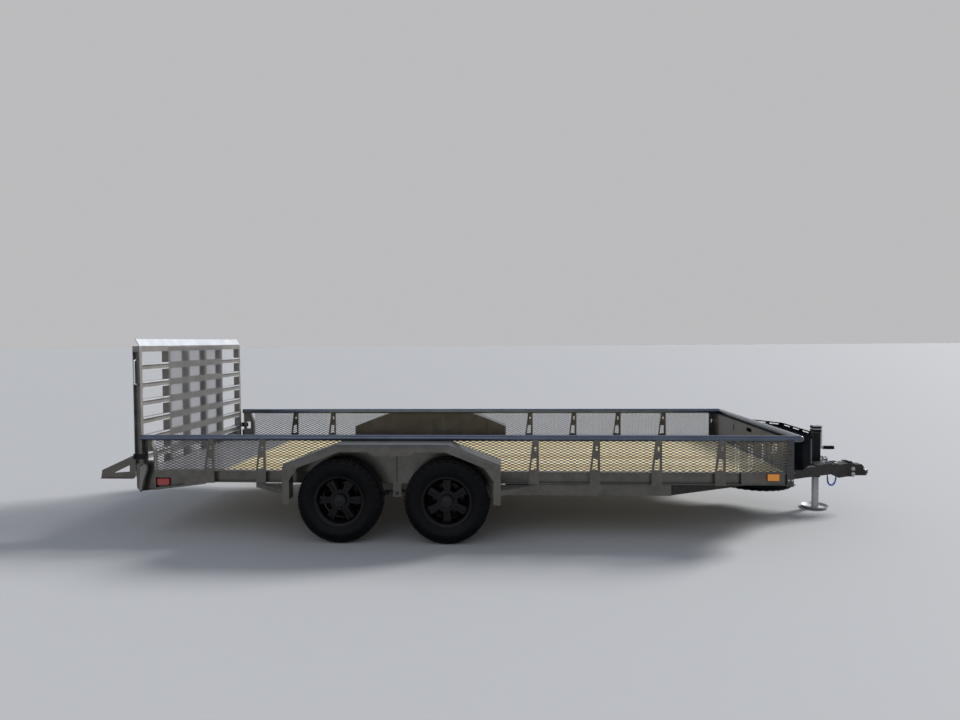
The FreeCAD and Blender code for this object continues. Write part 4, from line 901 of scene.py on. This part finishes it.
def rubberTrim(look):
    shape = bmesh.new()
    for node in ("top_rail_right", "top_rail_left"):
        place = Matrix.Translation((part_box(node)[0].x, *middleOf(node).yz)) @ turned((-1, 0, 0))
        addCopy(shape, spunShape(plug["profile"], plug["steps"]), place)
    rim = look["rim"]
    for mm, z, wide, tall, face in look["lamps"]:
        halfX, halfZ = wide / 2, tall / 2
        bars = ((-halfX - rim, halfX + rim, halfZ, halfZ + rim),
                (-halfX - rim, halfX + rim, -halfZ - rim, -halfZ),
                (-halfX - rim, -halfX, -halfZ, halfZ), (halfX, halfX + rim, -halfZ, halfZ))
        for side in (-1, 1):
            for x0, x1, z0, z1 in bars:
                addSideBlock(shape, side, (station(mm) + x0, face - look["back"], z + z0),
                             (station(mm) + x1, face + look["proud"], z + z1))
    pieceFrom(shape, "rubberTrim", tyreRubber, "chassis")


rubberTrim(lampFrame)

# Crank's grip: a ribbed sleeve over the bar, each rib taking its share of a step
grip = dict(start=6136, length=0.100, z=0.580, core=0.0155, rib=0.0175, ribs=9, share=(0.25, 0.85),
            slope=0.001, steps=20)


def crankSleeve(look):
    core, rib, slope = look["core"], look["rib"], look["slope"]
    profile = [(0.0, 0.0), (core, 0.0)]
    for count in range(look["ribs"]):
        low, high = (look["length"] * (count + share) / look["ribs"] for share in look["share"])
        profile += [(core, low), (rib, low + slope), (rib, high - slope), (core, high)]
    profile += [(core, look["length"]), (0.0, look["length"])]
    shape = bmesh.new()
    place = Matrix.Translation((station(look["start"]), 0, look["z"])) @ turned((1, 0, 0))
    addCopy(shape, spunShape(profile, look["steps"]), place)
    pieceFrom(shape, "crankSleeve", tyreRubber, "chassis")


crankSleeve(grip)

# Toolbox: bright strips down its front corners, and two draw latches below the lid
boxTrim = dict(corner=(5885, 0.318), low=0.482, high=0.712, width=0.009, back=0.001, lift=0.0014, turn=-34.7,
               wider=1.6)
# the blocks of a draw latch: half width, low, high, and from where to where they stand off the box
drawLatch = dict(y=0.185, blocks=((0.022, 0.600, 0.690, 0.0, 0.004), (0.014, 0.612, 0.672, 0.004, 0.011)),
                 pinHalf=0.017, pinZ=0.672, pinOut=0.010, pinRadius=0.004)


def toolboxTrim(look, latch):
    shape = bmesh.new()
    x, y = station(look["corner"][0]), look["corner"][1]
    for side in (-1, 1):
        addSideBlock(shape, side, (x - look["back"], y - look["width"], look["low"]),
                     (x + look["lift"], y, look["high"]))
        strip = bmesh.new()
        addSideBlock(strip, side, (-look["width"] * look["wider"], 0.0, look["low"]),
                     (0.0, look["lift"], look["high"]))
        turn = Matrix.Rotation(side * radians(look["turn"]), 4, "Z")
        addCopy(shape, strip, Matrix.Translation((x, side * y, 0)) @ turn)
        at = side * latch["y"]
        for half, low, high, near, far in latch["blocks"]:
            addBlock(shape, (x + near, at - half, low), (x + far, at + half, high))
        pinX, pinZ, half = x + latch["pinOut"], latch["pinZ"], latch["pinHalf"]
        addRod(shape, (pinX, at - half, pinZ), (pinX, at + half, pinZ), latch["pinRadius"], sides=8)
    pieceFrom(shape, "toolboxTrim", zincSteel, "chassis")


toolboxTrim(boxTrim, drawLatch)

# Springs on the gate latches' bolts, and washers on the gate's hinge pins
latchCoil = dict(mm=-36, z=0.660, start=1.014, end=1.048, ring=0.0130, wire=0.0016, turns=7, perTurn=10)


def latchSprings(look):
    total = look["turns"] * look["perTurn"]
    run = look["end"] - look["start"]
    for side, word in ((-1, "Right"), (1, "Left")):
        points = []
        for step in range(total + 1):
            turn = 2 * pi * step / look["perTurn"]
            points.append((station(look["mm"]) + look["ring"] * cos(turn),
                           side * (look["start"] + run * step / total), look["z"] + look["ring"] * sin(turn)))
        curve, _ = newCurve("latchSpring" + word, "POLY", points)
        curve.bevel_depth = look["wire"]
        curve.bevel_resolution = 1
        curve.materials.append(zincSteel)
        piece = newObject("latchSpring" + word, curve)
        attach(piece, "chassis")


latchSprings(latchCoil)

hinges = dict(mm=-30, z=0.450, places=(-0.780, 0.0, 0.780), reach=0.046, radius=0.0150, height=0.004, nut=0.6)


def hingeWashers(look):
    shape = bmesh.new()
    for y in look["places"]:
        for way in (-1, 1):
            at = (station(look["mm"]), y + way * look["reach"], look["z"])
            addHead(shape, at, (0, way, 0), look["radius"], look["height"], sides=18, taper=0.95)
            addHead(shape, at, (0, way, 0), look["radius"] * look["nut"], look["height"] * 2, taper=0.9)
    pieceFrom(shape, "hingeWashers", boltSteel, "chassis")


hingeWashers(hinges)
print("trim done")

# Welds at the posts' heads and round the jack
welds = dict(posts=(650, 1095, 3385, 3883, 4382, 4888), topWidth=50, clear=3, frontPost=(5371, 5422),
             face=1.0545, z=0.8115, bead=0.0030, jack=(6066, 0.0345, 0.4545))


def chassisWelds(look):
    shape = bmesh.new()
    runs = [(mm - look["topWidth"] + look["clear"], mm - look["clear"]) for mm in look["posts"]]
    for side in (-1, 1):
        for start, end in runs + [look["frontPost"]]:
            addBeads(shape, (station(start), side * look["face"], look["z"]),
                     (station(end), side * look["face"], look["z"]), look["bead"])
    mm, half, z = look["jack"]
    corners = [(station(mm) + dx * half, dy * half, z) for dx, dy in ((-1, -1), (1, -1), (1, 1), (-1, 1))]
    for a, b in zip(corners, corners[1:] + corners[:1]):
        addBeads(shape, a, b, look["bead"])
    pieceFrom(shape, "chassisWelds", framePaint, "chassis", limit=80.0)


chassisWelds(welds)
print("welds done")

# Safety chains: round wire links in the places of the plain ones
chainLook = dict(length=0.054, width=0.032, wire=0.0045, bendSteps=8, beamTurn=27.4)


def chainLink(look):
    # a circle drawn along, round one end, back and round the other
    bm = bmesh.new()
    bend = look["width"] / 2 - look["wire"]
    straight = look["length"] / 2 - look["width"] / 2
    bmesh.ops.create_circle(bm, segments=8, radius=look["wire"],
                            matrix=Matrix.Translation((-straight, bend, 0)) @ Matrix.Rotation(pi / 2, 4, "Y"))
    rim = list(bm.edges)
    for end in (straight, -straight):
        run = pushRim(bm, rim, (2 * end, 0, 0))
        rim = turnRim(bm, run, (end, 0, 0), (0, 0, 1), -pi, look["bendSteps"])
    bmesh.ops.remove_doubles(bm, verts=bm.verts, dist=1e-5)
    return bm


def solidCentres(node):
    # the middle of each solid in a node, found by walking along its edges
    solids = bmesh.new()
    solids.from_mesh(frame["nodes"][node].data)
    bmesh.ops.remove_doubles(solids, verts=solids.verts, dist=1e-6)
    left = set(solids.verts)
    centres = []
    while left:
        group, fresh = set(), {left.pop()}
        while fresh:
            group |= fresh
            fresh = {e.other_vert(v) for v in fresh for e in v.link_edges} - group
        left -= group
        centres.append(sum((v.co for v in group), Vector()) / len(group))
    solids.free()
    return centres


def safetyChains(look):
    centres = solidCentres("safety_chains")
    shape = bmesh.new()
    for side in (-1, 1):
        # the chains run back from the nose beside each other, along the beams
        way = Matrix.Rotation(-side * radians(look["beamTurn"]), 4, "Z")
        row = sorted((c for c in centres if c.y * side > 0), key=lambda c: -c.x)
        for count, centre in enumerate(row):
            roll = Matrix.Rotation(radians(45 + 90 * (count % 2)), 4, "X")
            addCopy(shape, chainLink(look), Matrix.Translation(centre) @ way @ roll)
    pieceFrom(shape, "safetyChains", shadedChainSteel, "chassis", ("safety_chains",),
              limit=60.0)


safetyChains(chainLook)
print("chains done")

# Breakaway cord: a curly cord's helix about the route's own curve, drawn in to its middle at the ends
cord = dict(start=(3.0475, -0.1505, 0.355), heading=27.4,
            route=[(0.0, 0.0), (0.0, -0.036), (0.003, -0.073), (0.024, -0.102), (0.058, -0.114),
                   (0.092, -0.102), (0.113, -0.073), (0.116, -0.036), (0.116, 0.0)],
            coil=0.0051, wire=0.0056, pitch=0.0063, perTurn=12, widen=6.0, least=0.15)


def routePoints(look):
    # points read from the NURBS curve whose control points are the route
    turn = radians(look["heading"])
    x, y, top = look["start"]
    curve, spline = newCurve("cordRoute", "NURBS", [(x + u * cos(turn), y + u * sin(turn), top + z)
                                                    for u, z in look["route"]])
    spline.order_u = 3
    spline.use_endpoint_u = True
    spline.resolution_u = 24
    holder = newObject("cordRoute", curve)
    bpy.context.view_layer.update()
    mesh = bpy.data.meshes.new_from_object(holder)
    points = [v.co.copy() for v in mesh.vertices]
    bpy.data.meshes.remove(mesh)
    bpy.data.objects.remove(holder)
    bpy.data.curves.remove(curve)
    return points


def cordHelix(look):
    points = routePoints(look)
    turn = radians(look["heading"])
    across = Vector((-sin(turn), cos(turn), 0.0))
    lengths = [0.0]
    for a, b in zip(points, points[1:]):
        lengths.append(lengths[-1] + (b - a).length)
    turns = lengths[-1] / look["pitch"]
    total = round(turns * look["perTurn"])
    helix, place = [], 0
    for step in range(total + 1):
        reach = lengths[-1] * step / total
        while place < len(points) - 2 and lengths[place + 1] < reach:
            place += 1
        way = (points[place + 1] - points[place]).normalized()
        on = points[place] + way * (reach - lengths[place])
        lift = way.cross(across).normalized()
        spin = 2 * pi * turns * step / total
        ease = min(1.0, look["widen"] * min(step, total - step) / total + look["least"])
        helix.append(on + (across * cos(spin) + lift * sin(spin)) * look["coil"] * ease)
    return helix


def breakawayCord(look):
    helix = cordHelix(look)
    curve, _ = newCurve("breakawayCord", "POLY", helix)
    curve.bevel_depth = look["wire"] / 2
    curve.bevel_resolution = 2
    curve.resolution_u = 1
    curve.use_fill_caps = True
    curve.materials.append(blueCord)
    piece = newObject("breakawayCord", curve)
    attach(piece, "chassis")
    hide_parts("breakaway_cord")


breakawayCord(cord)
print("cord done")

# Studio
studio = dict(floor=(0.40, 0.40, 0.40), floorRough=0.9, floorSize=400.0, horizon=(0.62, 0.63, 0.65),
              zenith=(0.40, 0.44, 0.52), heights=(0.05, 0.70), far=(0.50, 0.50, 0.51), key=4.6, keySoft=14.0,
              keyAt=(1.28, 0.80, 0.82), fill=60.0, fillSize=7.0, fillAt=(-3.0, -9.0, 5.0))
view = dict(place=(0.1485, -6.309, 1.623), yaw=3.31, pitch=1.69, roll=-0.40, lens=24.06, sensor=36.0)


def studioFloor(look):
    bm = bmesh.new()
    bmesh.ops.create_grid(bm, x_segments=1, y_segments=1, size=look["floorSize"] / 2)
    mesh = bpy.data.meshes.new("studioFloor")
    bm.to_mesh(mesh)
    bm.free()
    mesh.materials.append(plainFinish("studioFloor", look["floor"], look["floorRough"]))
    newObject("studioFloor", mesh)


def studioSky(look):
    # lights the trailer from horizon to zenith, and shows the camera the far floor's own tone
    world = bpy.data.worlds.new("studioSky")
    world.use_nodes = True
    nodes, links = world.node_tree.nodes, world.node_tree.links
    light, seen = nodes["Background"], nodes.new("ShaderNodeBackground")
    coords, split = nodes.new("ShaderNodeTexCoord"), nodes.new("ShaderNodeSeparateXYZ")
    links.new(coords.outputs["Generated"], split.inputs["Vector"])
    stops = list(zip(look["heights"], (look["horizon"], look["zenith"])))
    links.new(rampOf(nodes, links, split.outputs["Z"], stops), light.inputs["Color"])
    seen.inputs["Color"].default_value = (*look["far"], 1)
    path, mix = nodes.new("ShaderNodeLightPath"), nodes.new("ShaderNodeMixShader")
    links.new(path.outputs["Is Camera Ray"], mix.inputs[0])
    links.new(light.outputs[0], mix.inputs[1])
    links.new(seen.outputs[0], mix.inputs[2])
    links.new(mix.outputs[0], nodes["World Output"].inputs["Surface"])
    bpy.context.scene.world = world


def addLamp(name, kind, at, power):
    # shines from its place towards the trailer
    data = bpy.data.lights.new(name, kind)
    data.energy = power
    newObject(name, data).matrix_world = Matrix.Translation(at) @ turned(at)
    return data


def buildCamera(look):
    data = bpy.data.cameras.new("photoView")
    data.sensor_width = look["sensor"]
    data.lens = look["lens"]
    yaw = Matrix.Rotation(radians(look["yaw"]), 4, "Z")
    pitch = Matrix.Rotation(radians(90 - look["pitch"]), 4, "X")
    roll = Matrix.Rotation(radians(look["roll"]), 4, "Z")
    camera = newObject("photoView", data)
    camera.matrix_world = Matrix.Translation(look["place"]) @ yaw @ pitch @ roll
    bpy.context.scene.camera = camera


studioFloor(studio)
studioSky(studio)
addLamp("keyLight", "SUN", studio["keyAt"], studio["key"]).angle = radians(studio["keySoft"])
addLamp("fillLight", "AREA", studio["fillAt"], studio["fill"]).size = studio["fillSize"]
buildCamera(view)
bpy.context.scene.view_settings.view_transform = "Standard"
print("studio done")
